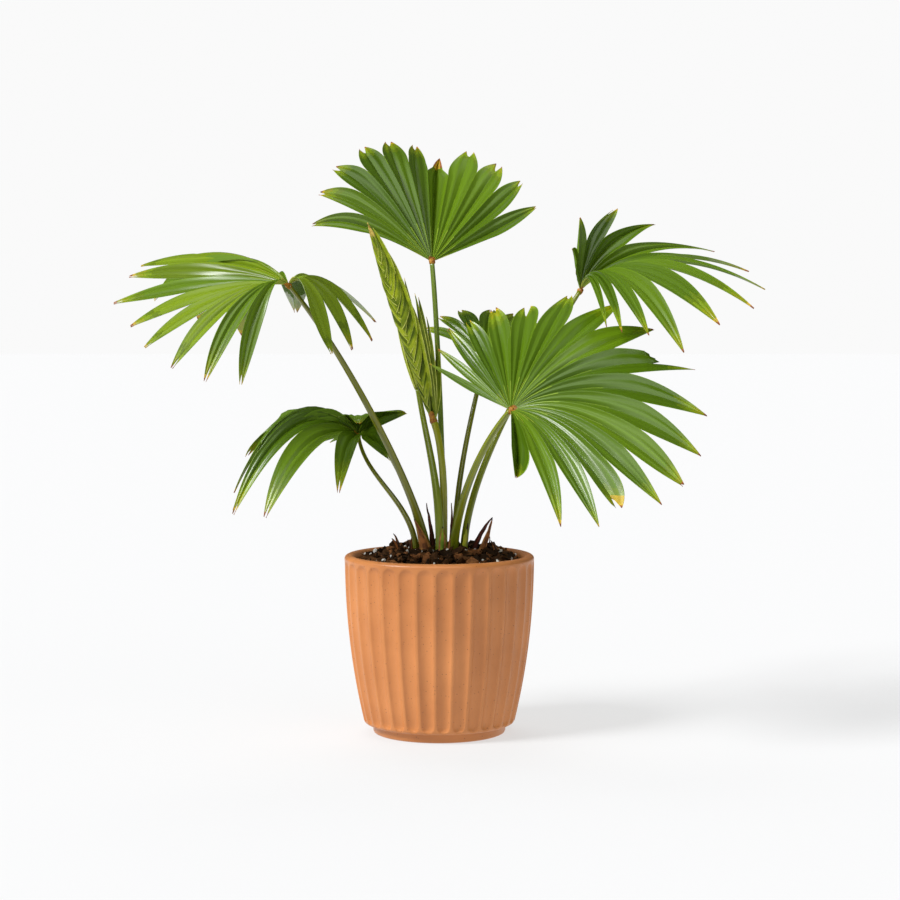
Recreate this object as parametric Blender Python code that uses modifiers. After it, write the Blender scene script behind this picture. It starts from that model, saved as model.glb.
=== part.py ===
"""Potted footstool palm: fan fronds on slender stalks, in a fluted clay pot filled with soil.

Metres, +Z up. The origin is the centre of the pot's flat underside. +X is the viewer's right and
+Y points away from the viewer. Each sub-part is one closed solid, about 0.3 mm clear of the next.
"""

from collections import namedtuple
from math import ceil, cos, floor, pi, radians, sin, sqrt

import bmesh
import bpy
from mathutils import Matrix, Vector

GAP = 0.0003

POT_HEIGHT = 0.1885
POT_RIM_RADIUS = 0.100
POT_FOOT_RADIUS = 0.070
POT_FOOT_HEIGHT = 0.009
POT_WALL_BASE = 0.013
POT_WALL_BASE_RADIUS = 0.080
POT_SWELL = 2.1
POT_LIP = 0.004
POT_INNER_RIM_RADIUS = 0.089
POT_FLOOR_RADIUS = 0.066
POT_FLOOR = 0.014
FLUTES = 32
FLUTE_DEPTH = 0.0032
FLUTE_LOW = 0.0135
FLUTE_HIGH = 0.181
FLUTE_ROUND = 0.010
FLUTE_TURN = radians(-92.5)
WALL_STEPS = 7

SOIL_EDGE = 0.179
SOIL_TOP = 0.192
SOIL_FLAT_RADIUS = 0.043
SOIL_SIDES = 48

LEAF_THICKNESS = 0.0021
LEAF_FUSED_ROWS = 3
LEAF_FREE_ROWS = 3
LEAF_ROWS_INWARD = 1.5
LEAF_JOINED_LEAST = 0.12
LEAF_TAPERS = (1.25, 4.0)
LEAF_SWELLS = (0.28, 0.9)
LEAF_TIP_LEAST = 0.10
LEAF_NOTCH = 0.25
LEAF_PLEAT = 0.22
RIB_STEPS = 12
STALK_TO_BLADE = 0.0035

GREEN = (0.10, 0.27, 0.035)
PALE_GREEN = (0.30, 0.43, 0.07)
STALK_GREEN = (0.17, 0.27, 0.04)
HUSK_BROWN = (0.20, 0.07, 0.03)
SOIL_BROWN = (0.045, 0.025, 0.017)
CLAY = (0.60, 0.32, 0.18)

# A stalk leaves the soil upright and bends over to its hub. Places are in metres, radii too.
Stalk = namedtuple("Stalk", "name foot upright bend hub foot_radius neck_radius")

STALKS = (
    Stalk("stalk_left", (-0.013, -0.003), 0.048, (-0.0946, -0.074, 0.404),
          (-0.148, -0.139, 0.470), 0.0052, 0.0024),
    Stalk("stalk_low_left", (-0.024, -0.008), 0.0588, (-0.0796, 0.016, 0.2655),
          (-0.087, 0.043, 0.312), 0.0036, 0.0022),
    Stalk("stalk_young_left", (-0.019, 0.012), 0.043, (-0.047, 0.056, 0.285),
          (-0.074, 0.076, 0.316), 0.0030, 0.0020),
    Stalk("stalk_top", (0.005, 0.017), 0.046, (0.000, 0.030, 0.408),
          (-0.008, 0.045, 0.497), 0.0034, 0.0026),
    Stalk("stalk_spear", (0.004, 0.002), 0.058, (0.007, -0.002, 0.286),
          (-0.007, 0.000, 0.333), 0.0050, 0.0042),
    Stalk("stalk_young_spear", (0.001, -0.013), 0.078, (-0.011, 0.004, 0.294),
          (-0.023, 0.020, 0.363), 0.0052, 0.0029),
    Stalk("stalk_hidden", (0.016, 0.013), 0.079, (0.035, 0.048, 0.333),
          (0.049, 0.060, 0.394), 0.0034, 0.0024),
    Stalk("stalk_front_right", (0.015, -0.009), 0.047, (0.041, -0.048, 0.306),
          (0.073, -0.080, 0.344), 0.0052, 0.0030),
    Stalk("stalk_right", (0.026, 0.002), 0.096, (0.116, 0.041, 0.410),
          (0.151, 0.058, 0.466), 0.0044, 0.0026),
)

# A fan of leaflets about its hub. heading is the middle leaflet's compass direction, counted from
# +X towards +Y, rise is its slope, and roll turns the fan about it, all in degrees. spread is half
# of the fan's angle and skew turns the leaflets in the fan's own plane. reach is the middle
# leaflet's length, which loss, lop and sway change round the fan. cup lifts the leaflets off the
# fan's plane, more by cup_ahead in the middle and by fold at the sides. sag is how far their own
# weight bends them down, more by sag_lop on one side and by sag_ahead in the middle, and bow says
# how late along the leaflet the bend comes. trims lists leaflets that are longer or shorter than
# the rule says, with the share of their length that is there. bends lists leaflets with how far
# they are turned round the fan and lifted, in degrees, and how much more they sag, and the others
# follow between them.
Fan = namedtuple(
    "Fan",
    "name stalk leaflets heading rise roll spread skew reach loss lop sway cup cup_ahead fold sag"
    " sag_lop sag_ahead bow trims bends",
    defaults=((),),
)

FANS = (
    Fan("frond_top", "stalk_top", 11, 55, 70, 51, 59, 12, 0.168, 0.74, 0.15, -0.10, -33, 4, 32,
        0.59, 0.87, -0.84, 2.1, {7: 1.05}),
    Fan("frond_left", "stalk_left", 16, 124, -24, -10, 149, 3, 0.225, 0.50, -0.03, -0.13, 46, -13,
        -7, 1.19, -0.04, -1.03, 0.4, {5: 1.08, 8: 0.90, 9: 0.72, 10: 0.58, 11: 0.45},
        ((3, 0, 0, 0), (6, 0, 20, 0.4), (8, 0, 50, 1.25), (10, 0, 38, 1.15), (12, 0, 0, 0))),
    Fan("frond_low_left", "stalk_low_left", 12, 129, -8, -37, 166, -20, 0.155, 0.43, 0.50, 0.04,
        41, 32, 36, 1.43, 0.73, 0.34, 1.0, {1: 1.05, 9: 0.70, 10: 1.42, 11: 0.94},
        ((5, 0, 0, 0), (8, 0, 0, 1.0), (9, 0, 6, 1.1), (10, 0, 0, 0.3), (11, 0, 0, 0))),
    Fan("frond_young_left", "stalk_young_left", 5, 170, -12, 20, 32, 0, 0.070, 0.2, 0, 0, 8, 0, 10,
        0.3, 0, 0, 1.5, {}),
    Fan("frond_hidden", "stalk_hidden", 8, 75, 34, 10, 66, 0, 0.085, 0.3, 0, 0, 15, 0, 5,
        0.6, 0, 0, 1.4, {}),
    Fan("frond_front_right", "stalk_front_right", 18, 32, 23, 16, 109, -4, 0.200, 0.5, -0.17, 0,
        28, 0, -8, 0.76, -1, 0, 0.7, {2: 1.08, 5: 0.90, 8: 0.95, 14: 0.89, 17: 0.64},
        ((12, 0, 0, 0), (14, 2, 0, 0), (16, 0, 0, 0), (17, -5, 0, 0))),
    Fan("frond_right", "stalk_right", 14, 45, 15, 18, 100, -20, 0.169, 0.49, -0.42, -0.13, 59, -11,
        21, 1.15, -0.22, -0.12, 0.4, {0: 0.45, 1: 0.80, 5: 1.08, 10: 1.07},
        ((9, 0, 0, 0), (10, 0, 0, 0.08), (11, 0, 0, 0))),
)

# For each fan, at its sides and in its middle: how wide its leaflets are where they part, and the
# share of their length up to which they part at the latest. tips lists leaflets with how far apart
# their two points stand, as a share of the leaflet's width, and the others follow between them.
# narrow lists leaflets that are narrower beyond the join, with the share of their width.
Outline = namedtuple("Outline", "widths joined tips narrow", defaults=({},))

OUTLINES = {
    "frond_top": Outline((0.030, 0.033), (0.54, 0.80),
                         ((0, 0.13), (3, 0.28), (5, 0.28), (6, 0.02), (7, 0.30), (8, 0.28),
                          (10, 0.10)), {5: 0.8, 6: 0.55}),
    "frond_left": Outline((0.025, 0.034), (0.42, 0.62), ((0, 0.13), (5, 0.09), (15, 0.10))),
    "frond_low_left": Outline((0.022, 0.034), (0.60, 0.66), ((0, 0.09), (9, 0.12), (11, 0.13))),
    "frond_young_left": Outline((0.014, 0.018), (0.50, 0.60), ((0, 0.05), (4, 0.05))),
    "frond_hidden": Outline((0.020, 0.026), (0.50, 0.62), ((0, 0.24), (7, 0.24))),
    "frond_front_right": Outline((0.027, 0.037), (0.44, 0.68),
                                 ((0, 0.04), (2, 0.18), (3, 0.26), (5, 0.28), (7, 0.05),
                                  (11, 0.02), (12, 0.10), (13, 0.02), (16, 0.02), (17, 0.16))),
    "frond_right": Outline((0.022, 0.030), (0.50, 0.62),
                           ((0, 0.04), (2, 0.04), (3, 0.26), (4, 0.06), (13, 0.04))),
}

# A closed frond or a dry husk: a flattened spindle from its root to its tip. fullest is how far
# up it is widest, and tooth is how far its edge steps in and out, as a share of its width.
Spindle = namedtuple(
    "Spindle", "name root tip half_width half_depth fullest steps tooth lean colour"
)

SPINDLES = (
    Spindle("spear", (-0.0085, -0.0030, 0.3355), (-0.0750, -0.0045, 0.5370), 0.0098, 0.0052, 0.42,
            14, 0.08, 0.004, PALE_GREEN),
    Spindle("spear_pleats", (-0.0045, 0.0062, 0.3365), (-0.0250, 0.0085, 0.4660), 0.0075, 0.0032,
            0.45, 8, 0.10, 0.006, PALE_GREEN),
    Spindle("spear_young", (-0.0245, 0.0225, 0.3650), (-0.0470, 0.0310, 0.4500), 0.0045, 0.0035,
            0.35, 6, 0.0, 0.0, PALE_GREEN),
    Spindle("husk_right", (0.0370, -0.0040, 0.1940), (0.0560, -0.0080, 0.2290), 0.0050, 0.0026,
            0.15, 5, 0.0, 0.0, HUSK_BROWN),
    Spindle("husk_left", (-0.0230, -0.0200, 0.1940), (-0.0320, -0.0170, 0.2280), 0.0052, 0.0026,
            0.15, 5, 0.0, 0.0, HUSK_BROWN),
)
SPINDLE_SIDES = 8


def clear_scene():
    for thing in list(bpy.data.objects):
        bpy.data.objects.remove(thing, do_unlink=True)


def material(name, colour, roughness):
    made = bpy.data.materials.new(name)
    made.use_nodes = True
    shader = made.node_tree.nodes["Principled BSDF"]
    shader.inputs["Base Color"].default_value = (*colour, 1.0)
    shader.inputs["Roughness"].default_value = roughness
    shader.inputs["Metallic"].default_value = 0.0
    return made


def add_mesh(name, bm, finish, home, smooth=True):
    mesh = bpy.data.meshes.new(name)
    bm.to_mesh(mesh)
    bm.free()
    if smooth:
        mesh.shade_smooth()
    mesh.materials.append(finish)
    thing = bpy.data.objects.new(name, mesh)
    home.objects.link(thing)
    return thing


def turned(profile, sides):
    """A closed solid turned about Z from a profile whose two ends are on the axis."""
    bm = bmesh.new()
    points = [bm.verts.new((radius, 0.0, height)) for radius, height in profile]
    lines = [bm.edges.new(pair) for pair in zip(points, points[1:])]
    bmesh.ops.spin(bm, geom=points + lines, cent=(0, 0, 0), axis=(0, 0, 1), angle=2 * pi,
                   steps=sides, use_merge=True, use_duplicate=False)
    bmesh.ops.remove_doubles(bm, verts=bm.verts, dist=0.00001)
    bmesh.ops.recalc_face_normals(bm, faces=bm.faces)
    return bm


def wall_radius(height):
    """The pot's outer radius: it swells from its base and stands upright at the rim."""
    climb = (height - POT_WALL_BASE) / (POT_HEIGHT - POT_WALL_BASE)
    return POT_RIM_RADIUS - (POT_RIM_RADIUS - POT_WALL_BASE_RADIUS) * (1 - climb) ** POT_SWELL


def inner_radius(height):
    climb = (height - POT_FLOOR) / (POT_HEIGHT - POT_FLOOR)
    return POT_FLOOR_RADIUS + (POT_INNER_RIM_RADIUS - POT_FLOOR_RADIUS) * climb


def flute_share(height):
    """1 along the flutes, easing to 0 round both of their ends."""
    to_end = min(height - FLUTE_LOW, FLUTE_HIGH - height)
    if to_end <= 0:
        return 0.0
    return sqrt(1 - (1 - min(to_end / FLUTE_ROUND, 1)) ** 2)


def pot_profile():
    outer = [(0, 0), (POT_FOOT_RADIUS - 0.0015, 0), (POT_FOOT_RADIUS, POT_FOOT_HEIGHT),
             (POT_WALL_BASE_RADIUS - 0.0025, POT_FOOT_HEIGHT + 0.0015)]
    low = FLUTE_LOW + FLUTE_ROUND
    high = FLUTE_HIGH - FLUTE_ROUND
    heights = [POT_WALL_BASE, FLUTE_LOW + 0.003]
    heights += [low + (high - low) * step / (WALL_STEPS - 1) for step in range(WALL_STEPS)]
    heights += [FLUTE_HIGH - 0.003, FLUTE_HIGH]
    outer += [(wall_radius(height), height) for height in heights]
    centre = POT_HEIGHT - POT_LIP
    lip = []
    for step in range(5):
        turn = pi * step / 4
        middle = (POT_RIM_RADIUS + POT_INNER_RIM_RADIUS) / 2
        half = (POT_RIM_RADIUS - POT_INNER_RIM_RADIUS) / 2
        lip.append((middle + half * cos(turn), centre + POT_LIP * sin(turn)))
    inner = [(inner_radius(SOIL_EDGE), SOIL_EDGE), (POT_FLOOR_RADIUS, POT_FLOOR), (0, POT_FLOOR)]
    return outer + lip + inner


def make_pot(home, finish):
    bm = turned(pot_profile(), FLUTES * 3)
    for point in bm.verts:
        height = point.co.z
        radius = point.co.xy.length
        if radius < inner_radius(height) + 0.002:
            continue
        ridge = abs(((point.co.xy.angle_signed(Vector((1, 0)), 0.0) / (2 * pi) * FLUTES) % 1))
        if min(ridge, 1 - ridge) > 0.2:
            point.co.xy *= 1 - FLUTE_DEPTH * flute_share(height) / radius
    bmesh.ops.rotate(bm, verts=bm.verts, cent=(0, 0, 0), matrix=Matrix.Rotation(FLUTE_TURN, 3, "Z"))
    return add_mesh("pot", bm, finish, home)


def make_soil(home, finish):
    drop = 0.0005
    edge = inner_radius(SOIL_EDGE) - drop
    floor_radius = POT_FLOOR_RADIUS - drop
    profile = [(0, POT_FLOOR + GAP), (floor_radius, POT_FLOOR + GAP), (edge, SOIL_EDGE)]
    for share in (0.35, 0.7, 1.0):
        radius = edge + (SOIL_FLAT_RADIUS - edge) * share
        height = SOIL_EDGE + (SOIL_TOP - SOIL_EDGE) * sin(share * pi / 2)
        profile.append((radius, height))
    profile.append((0, SOIL_TOP))
    return add_mesh("soil", turned(profile, SOIL_SIDES), finish, home)


def stalk_shape(stalk):
    """The four control points of the stalk's curve, its end drawn back from the blade."""
    foot = Vector((*stalk.foot, SOIL_TOP + GAP))
    rising = foot + Vector((0, 0, stalk.upright))
    bend = Vector(stalk.bend)
    hub = Vector(stalk.hub)
    back = (bend - hub).normalized() * STALK_TO_BLADE
    return foot, rising, bend + back, hub + back


def make_stalk(stalk, home, finish):
    foot, rising, bend, end = stalk_shape(stalk)
    curve = bpy.data.curves.new(stalk.name, "CURVE")
    curve.dimensions = "3D"
    curve.bevel_depth = 1.0
    curve.bevel_resolution = 2
    curve.use_fill_caps = True
    curve.resolution_u = 9
    line = curve.splines.new("BEZIER")
    line.bezier_points.add(1)
    low, high = line.bezier_points
    for point in (low, high):
        point.handle_left_type = "FREE"
        point.handle_right_type = "FREE"
    low.co = foot
    low.handle_left = foot - (rising - foot) / 3
    low.handle_right = rising
    low.radius = stalk.foot_radius
    high.co = end
    high.handle_left = bend
    high.handle_right = end + (end - bend) / 3
    high.radius = stalk.neck_radius
    curve.materials.append(finish)
    thing = bpy.data.objects.new(stalk.name, curve)
    home.objects.link(thing)
    return thing


def fan_axes(fan):
    """The middle leaflet's direction, the side that counts as positive, and the upper side."""
    turn, rise, roll = radians(fan.heading), radians(fan.rise), radians(fan.roll)
    ahead = Vector((cos(rise) * cos(turn), cos(rise) * sin(turn), sin(rise)))
    level = Vector((-sin(turn), cos(turn), 0))
    above = ahead.cross(level)
    side = cos(roll) * level + sin(roll) * above
    upper = -sin(roll) * level + cos(roll) * above
    return ahead, side, upper


def between(knots, place):
    """The values at a place, read between the leaflets that are given."""
    for (low, *first), (high, *second) in zip(knots, knots[1:]):
        if place <= high:
            share = max(place - low, 0) / (high - low)
            return [a + (b - a) * share for a, b in zip(first, second)]
    return list(knots[-1][1:])


def rib(fan, hub, place, length_share=1.0):
    """Points along the rib at a place in the fan: 0 is the first leaflet's middle."""
    ahead, side, upper = fan_axes(fan)
    turn, raised, drop = between(fan.bends, place) if fan.bends else (0, 0, 0)
    half = fan.leaflets - 1
    angle = radians(fan.skew + fan.spread * (1 - 2 * place / half) + turn)
    length = fan.reach * (1 - fan.loss * (1 - cos(angle)) / 2 + fan.lop * sin(angle)
                          + fan.sway * sin(2 * angle))
    lift = radians(fan.cup + fan.cup_ahead * cos(angle) + fan.fold * abs(sin(angle)) + raised)
    start = cos(lift) * (cos(angle) * ahead + sin(angle) * side) + sin(lift) * upper
    sag = max(fan.sag * (1 + fan.sag_lop * sin(angle) + fan.sag_ahead * cos(angle)) + drop, 0)
    step_length = length * length_share / RIB_STEPS
    points = [hub.copy()]
    for step in range(RIB_STEPS):
        along = (step + 0.5) / RIB_STEPS
        way = start + Vector((0, 0, -sag * along ** fan.bow))
        points.append(points[-1] + way.normalized() * step_length)
    return points


def on_rib(points, share):
    """The point that far along a rib."""
    at = min(max(share, 0.0), 1.0) * (len(points) - 1)
    step = min(int(at), len(points) - 2)
    return points[step].lerp(points[step + 1], at - step)


def joins(middles, outline):
    """How far out each pair of leaflets stays joined: until they reach their full width."""
    shares = []
    for number, (one, other) in enumerate(zip(middles, middles[1:])):
        off = abs(2 * (number + 0.5) / (len(middles) - 1) - 1)
        full = outline.widths[1] + (outline.widths[0] - outline.widths[1]) * off ** 2
        latest = outline.joined[1] + (outline.joined[0] - outline.joined[1]) * off ** 3
        steps = [step / 60 for step in range(61)]
        wide = [step for step in steps if (on_rib(one, step) - on_rib(other, step)).length > full]
        shares.append(max(min([latest] + wide), LEAF_JOINED_LEAST))
    return shares[:1] + shares + shares[-1:]


def free_width(free, tip):
    """A leaflet's half width that far along its free part, as a share of its width at the join."""
    closing = free ** (LEAF_TAPERS[0] + LEAF_TAPERS[1] * tip)
    swell = LEAF_SWELLS[0] + LEAF_SWELLS[1] * tip
    return (1 + swell * free) * (1 - closing) + tip * closing


def make_fan(fan, hub, home, finish):
    """A pleated fan: a grid of two columns a leaflet, slit between leaflets, bent and thickened."""
    columns = 2 * fan.leaflets
    rows = LEAF_FUSED_ROWS + LEAF_FREE_ROWS
    bm = bmesh.new()
    bmesh.ops.create_grid(bm, x_segments=columns, y_segments=rows, size=0.5)
    upper = fan_axes(fan)[2]
    outline = OUTLINES[fan.name]
    shares = joins([rib(fan, hub, i) for i in range(fan.leaflets)], outline)
    tips = [max(between(outline.tips, i)[0], LEAF_TIP_LEAST) for i in range(fan.leaflets)]
    middles = [rib(fan, hub, i, fan.trims.get(i, 1.0)) for i in range(fan.leaflets)]
    edges = [rib(fan, hub, i - 0.5) for i in range(fan.leaflets + 1)]

    def column(point):
        return (point.co.x + 0.5) * columns

    def row(point):
        return (point.co.y + 0.5) * rows

    slits = []
    for line in bm.edges:
        a, b = line.verts
        level = round(column(a))
        if round(column(b)) == level and level % 2 == 0 and 0 < level < columns:
            if min(row(a), row(b)) > LEAF_FUSED_ROWS - 0.5:
                slits.append(line)
    bmesh.ops.split_edges(bm, edges=slits)

    places = {}
    for point in bm.verts:
        middle = sum(face.calc_center_median().x for face in point.link_faces)
        middle = (middle / len(point.link_faces) + 0.5) * columns / 2
        places[point] = (round(column(point)), round(row(point)), min(floor(middle), fan.leaflets - 1))

    for point, (across, up, leaflet) in places.items():
        if across % 2:
            leaflet = across // 2
        centre = middles[leaflet]
        free = max(up - LEAF_FUSED_ROWS, 0) / LEAF_FREE_ROWS
        inner = min(up / LEAF_FUSED_ROWS, 1) ** LEAF_ROWS_INWARD
        width = free_width(free, tips[leaflet])
        width *= 1 - (1 - outline.narrow.get(leaflet, 1)) * min(free * 3, 1)
        if across % 2:
            share = (shares[leaflet] + shares[leaflet + 1]) / 2
            along = share * inner + (1 - share) * free
            if up == rows:
                along -= LEAF_NOTCH * tips[leaflet]
            here = on_rib(centre, along)
            half = (on_rib(edges[leaflet], along) - here).length * width
            point.co = here - upper * LEAF_PLEAT * min(half, 0.02) * (1 - free)
            continue
        boundary = ceil(across / 2 - 0.01)
        join = shares[boundary]
        if up <= LEAF_FUSED_ROWS:
            point.co = on_rib(edges[boundary], join * inner)
            continue
        out = on_rib(edges[boundary], join) - on_rib(centre, join)
        point.co = on_rib(centre, join + (1 - join) * free) + out * width

    bmesh.ops.remove_doubles(bm, verts=bm.verts, dist=0.00001)
    blade = add_mesh(fan.name, bm, finish, home)
    wall = blade.modifiers.new("thickness", "SOLIDIFY")
    wall.thickness = LEAF_THICKNESS
    wall.offset = 0.0
    wall.use_even_offset = False
    return blade


def make_spindle(spindle, home, finish):
    """Rings of a flattened section, from a point at the root to a point at the tip."""
    root = Vector(spindle.root)
    tip = Vector(spindle.tip)
    along = (tip - root).normalized()
    across = Vector((0, 1, 0)).cross(along).normalized()
    through = along.cross(across)
    bm = bmesh.new()
    bmesh.ops.create_cone(bm, cap_ends=True, segments=SPINDLE_SIDES, radius1=1, radius2=1, depth=1)
    sides = [line for line in bm.edges if abs(line.verts[0].co.z - line.verts[1].co.z) > 0.5]
    bmesh.ops.subdivide_edges(bm, edges=sides, cuts=spindle.steps - 1, use_grid_fill=True)
    for point in bm.verts:
        share = point.co.z + 0.5
        level = round(share * spindle.steps)
        if share < spindle.fullest:
            size = sin(pi / 2 * (0.35 + 0.65 * share / spindle.fullest))
        else:
            size = 1 - 0.93 * ((share - spindle.fullest) / (1 - spindle.fullest)) ** 1.5
        size *= 1 + spindle.tooth * (-1) ** level
        lean = spindle.lean * sin(pi * share)
        place = root + (tip - root) * share + across * lean
        place += across * point.co.x * spindle.half_width * size
        place += through * point.co.y * spindle.half_depth * size
        point.co = place
    bmesh.ops.recalc_face_normals(bm, faces=bm.faces)
    return add_mesh(spindle.name, bm, finish, home)


def main():
    clear_scene()
    home = bpy.data.collections.new("potted footstool palm")
    bpy.context.scene.collection.children.link(home)
    make_pot(home, material("clay", CLAY, 0.62))
    make_soil(home, material("soil", SOIL_BROWN, 0.95))
    hubs = {}
    for stalk in STALKS:
        hubs[stalk.name] = Vector(stalk.hub)
        make_stalk(stalk, home, material(stalk.name, STALK_GREEN, 0.45))
    for fan in FANS:
        make_fan(fan, hubs[fan.stalk], home, material(fan.name, GREEN, 0.35))
    for spindle in SPINDLES:
        make_spindle(spindle, home, material(spindle.name, spindle.colour, 0.5))


main()
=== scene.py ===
from collections import namedtuple
from math import atan2, ceil, cos, exp, floor, hypot, pi, radians, sin, sqrt
from random import Random

import bmesh
import bpy
from mathutils import Euler, Matrix, Vector, noise


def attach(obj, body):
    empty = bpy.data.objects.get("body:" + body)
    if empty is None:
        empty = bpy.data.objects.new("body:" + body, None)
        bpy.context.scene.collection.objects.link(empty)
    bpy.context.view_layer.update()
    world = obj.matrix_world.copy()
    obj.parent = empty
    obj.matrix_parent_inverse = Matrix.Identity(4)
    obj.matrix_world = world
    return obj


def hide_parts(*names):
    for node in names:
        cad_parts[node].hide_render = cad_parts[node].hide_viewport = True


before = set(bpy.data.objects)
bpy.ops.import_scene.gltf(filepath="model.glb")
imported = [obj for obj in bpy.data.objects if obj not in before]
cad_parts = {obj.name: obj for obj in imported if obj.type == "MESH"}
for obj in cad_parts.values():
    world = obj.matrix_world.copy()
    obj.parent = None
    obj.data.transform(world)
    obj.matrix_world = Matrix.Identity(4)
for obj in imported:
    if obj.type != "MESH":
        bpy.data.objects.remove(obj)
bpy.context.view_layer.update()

# Pot and soil, as in the solids.
POT_HEIGHT = 0.1885
POT_RIM_RADIUS = 0.100
POT_FOOT_RADIUS = 0.070
POT_FOOT_HEIGHT = 0.009
POT_WALL_BASE = 0.013
POT_WALL_BASE_RADIUS = 0.080
POT_SWELL = 2.1
POT_LIP = 0.004
POT_INNER_RIM_RADIUS = 0.089
POT_FLOOR_RADIUS = 0.066
POT_FLOOR = 0.014
FLUTES = 32
FLUTE_DEPTH = 0.0032
FLUTE_LOW = 0.0115
FLUTE_HIGH = 0.1828
FLUTE_ROUND = 0.0078
FLUTE_TURN = radians(-92.5)
FLUTE_SHARE = 0.84
FLUTE_ARC = 1.22
FLUTE_EDGE = 0.05
POT_SIDES = FLUTES * 24
WALL_STEPS = 76

SOIL_EDGE = 0.179
SOIL_TOP = 0.192
SOIL_FLAT_RADIUS = 0.043
CHIPS = 1300
LUMPS = 190
PERLITE = 95

ROOM_LIGHT = 0.31
BACKDROP = 0.955
ROOM_SHEEN = 0.09
SOFTBOX_SHEEN = 2.9
SOFTBOX_FROM = 0.80
SOFTBOX_TO = 0.95
SOFTBOX_WAY = (0.05, -0.66, 0.75)

# Fronds.
LEAF_THICKNESS = 0.0003
FUSED_ROWS = 16
FREE_ROWS = 22
HEART_ROWS = 2
MARGIN_ROWS = 6
MARGIN_LINES = 4
ROWS_INWARD = 1.4
JOINED_LEAST = 0.12
# For each fan, at its sides and in its middle: how wide its leaflets are where they part, and the
# share of their length up to which they part at the latest. Then how deep the notch in a tip is
# for its width, and how far apart the tip's two points stand, as a share of the leaflet's width,
# at some leaflets, with the others between them.
Outline = namedtuple("Outline", "widths joined notch tips")
OUTLINES = {
    "top": Outline((0.030, 0.033), (0.54, 0.80), (0.60, 0.90),
                   ((0, 0.13), (3, 0.28), (5, 0.28), (6, 0.02), (7, 0.30), (8, 0.28), (10, 0.10))),
    "left": Outline((0.025, 0.034), (0.42, 0.62), (1.2, 2.2), ((0, 0.13), (5, 0.09), (15, 0.10))),
    "low_left": Outline((0.022, 0.034), (0.60, 0.66), (1.5, 2.5), ((0, 0.09), (9, 0.12), (11, 0.13))),
    "front_right": Outline((0.027, 0.037), (0.44, 0.68), (0.60, 0.90),
                           ((0, 0.04), (2, 0.18), (3, 0.26), (5, 0.28), (7, 0.05), (11, 0.02),
                            (12, 0.10), (13, 0.02), (14, 0.24), (15, 0.02), (16, 0.02),
                            (17, 0.08))),
    "right": Outline((0.022, 0.030), (0.50, 0.62), (0.70, 1.00),
                     ((0, 0.04), (2, 0.04), (3, 0.26), (4, 0.06), (13, 0.04))),
    "young_left": Outline((0.014, 0.018), (0.50, 0.60), (0.7, 1.0), ((0, 0.05), (4, 0.05))),
    "hidden": Outline((0.020, 0.026), (0.50, 0.62), (0.7, 1.0), ((0, 0.24), (7, 0.24))),
}
LEAST_NOTCH = 0.07
TAPERS = (1.25, 4.0)
SWELLS = (0.28, 0.9)
PLEAT_HUB = 1.0
PLEAT_JOIN = 0.50
PLEAT_TIP = 0.08
FOLD = 0.0013
RIB_STEPS = 24
HALF_LINES = (0.05, 0.18, 0.30, 0.36, 0.50, 0.63, 0.69, 0.84, 0.95, 1.0)
PANELS = 3
RIB_WIDTH = 0.0005
EDGE_WIDTH = 0.00050
STALK_TO_BLADE = 0.0012

Stalk = namedtuple("Stalk", "name foot upright bend hub foot_radius neck_radius finish")
STALKS = (
    Stalk("left", (-0.013, -0.003), 0.048, (-0.0946, -0.074, 0.404),
          (-0.148, -0.139, 0.470), 0.0052, 0.0024, "olive"),
    Stalk("low_left", (-0.024, -0.008), 0.0588, (-0.0796, 0.016, 0.2655),
          (-0.087, 0.043, 0.312), 0.0036, 0.0022, "olive"),
    Stalk("young_left", (-0.019, 0.012), 0.043, (-0.047, 0.056, 0.285),
          (-0.074, 0.076, 0.316), 0.0030, 0.0020, "pale"),
    Stalk("top", (0.005, 0.017), 0.046, (0.000, 0.030, 0.408),
          (-0.008, 0.045, 0.497), 0.0034, 0.0026, "cool"),
    Stalk("spear", (0.004, 0.002), 0.058, (0.007, -0.002, 0.286),
          (-0.007, 0.000, 0.333), 0.0050, 0.0042, "yellow"),
    Stalk("young_spear", (0.001, -0.013), 0.078, (-0.011, 0.004, 0.294),
          (-0.023, 0.020, 0.363), 0.0052, 0.0029, "pale"),
    Stalk("hidden", (0.016, 0.013), 0.079, (0.035, 0.048, 0.333),
          (0.049, 0.060, 0.394), 0.0034, 0.0024, "olive"),
    Stalk("front_right", (0.015, -0.009), 0.047, (0.041, -0.048, 0.306),
          (0.073, -0.080, 0.344), 0.0052, 0.0030, "fresh"),
    Stalk("right", (0.026, 0.002), 0.096, (0.116, 0.041, 0.410),
          (0.151, 0.058, 0.466), 0.0044, 0.0026, "fresh"),
)

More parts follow.
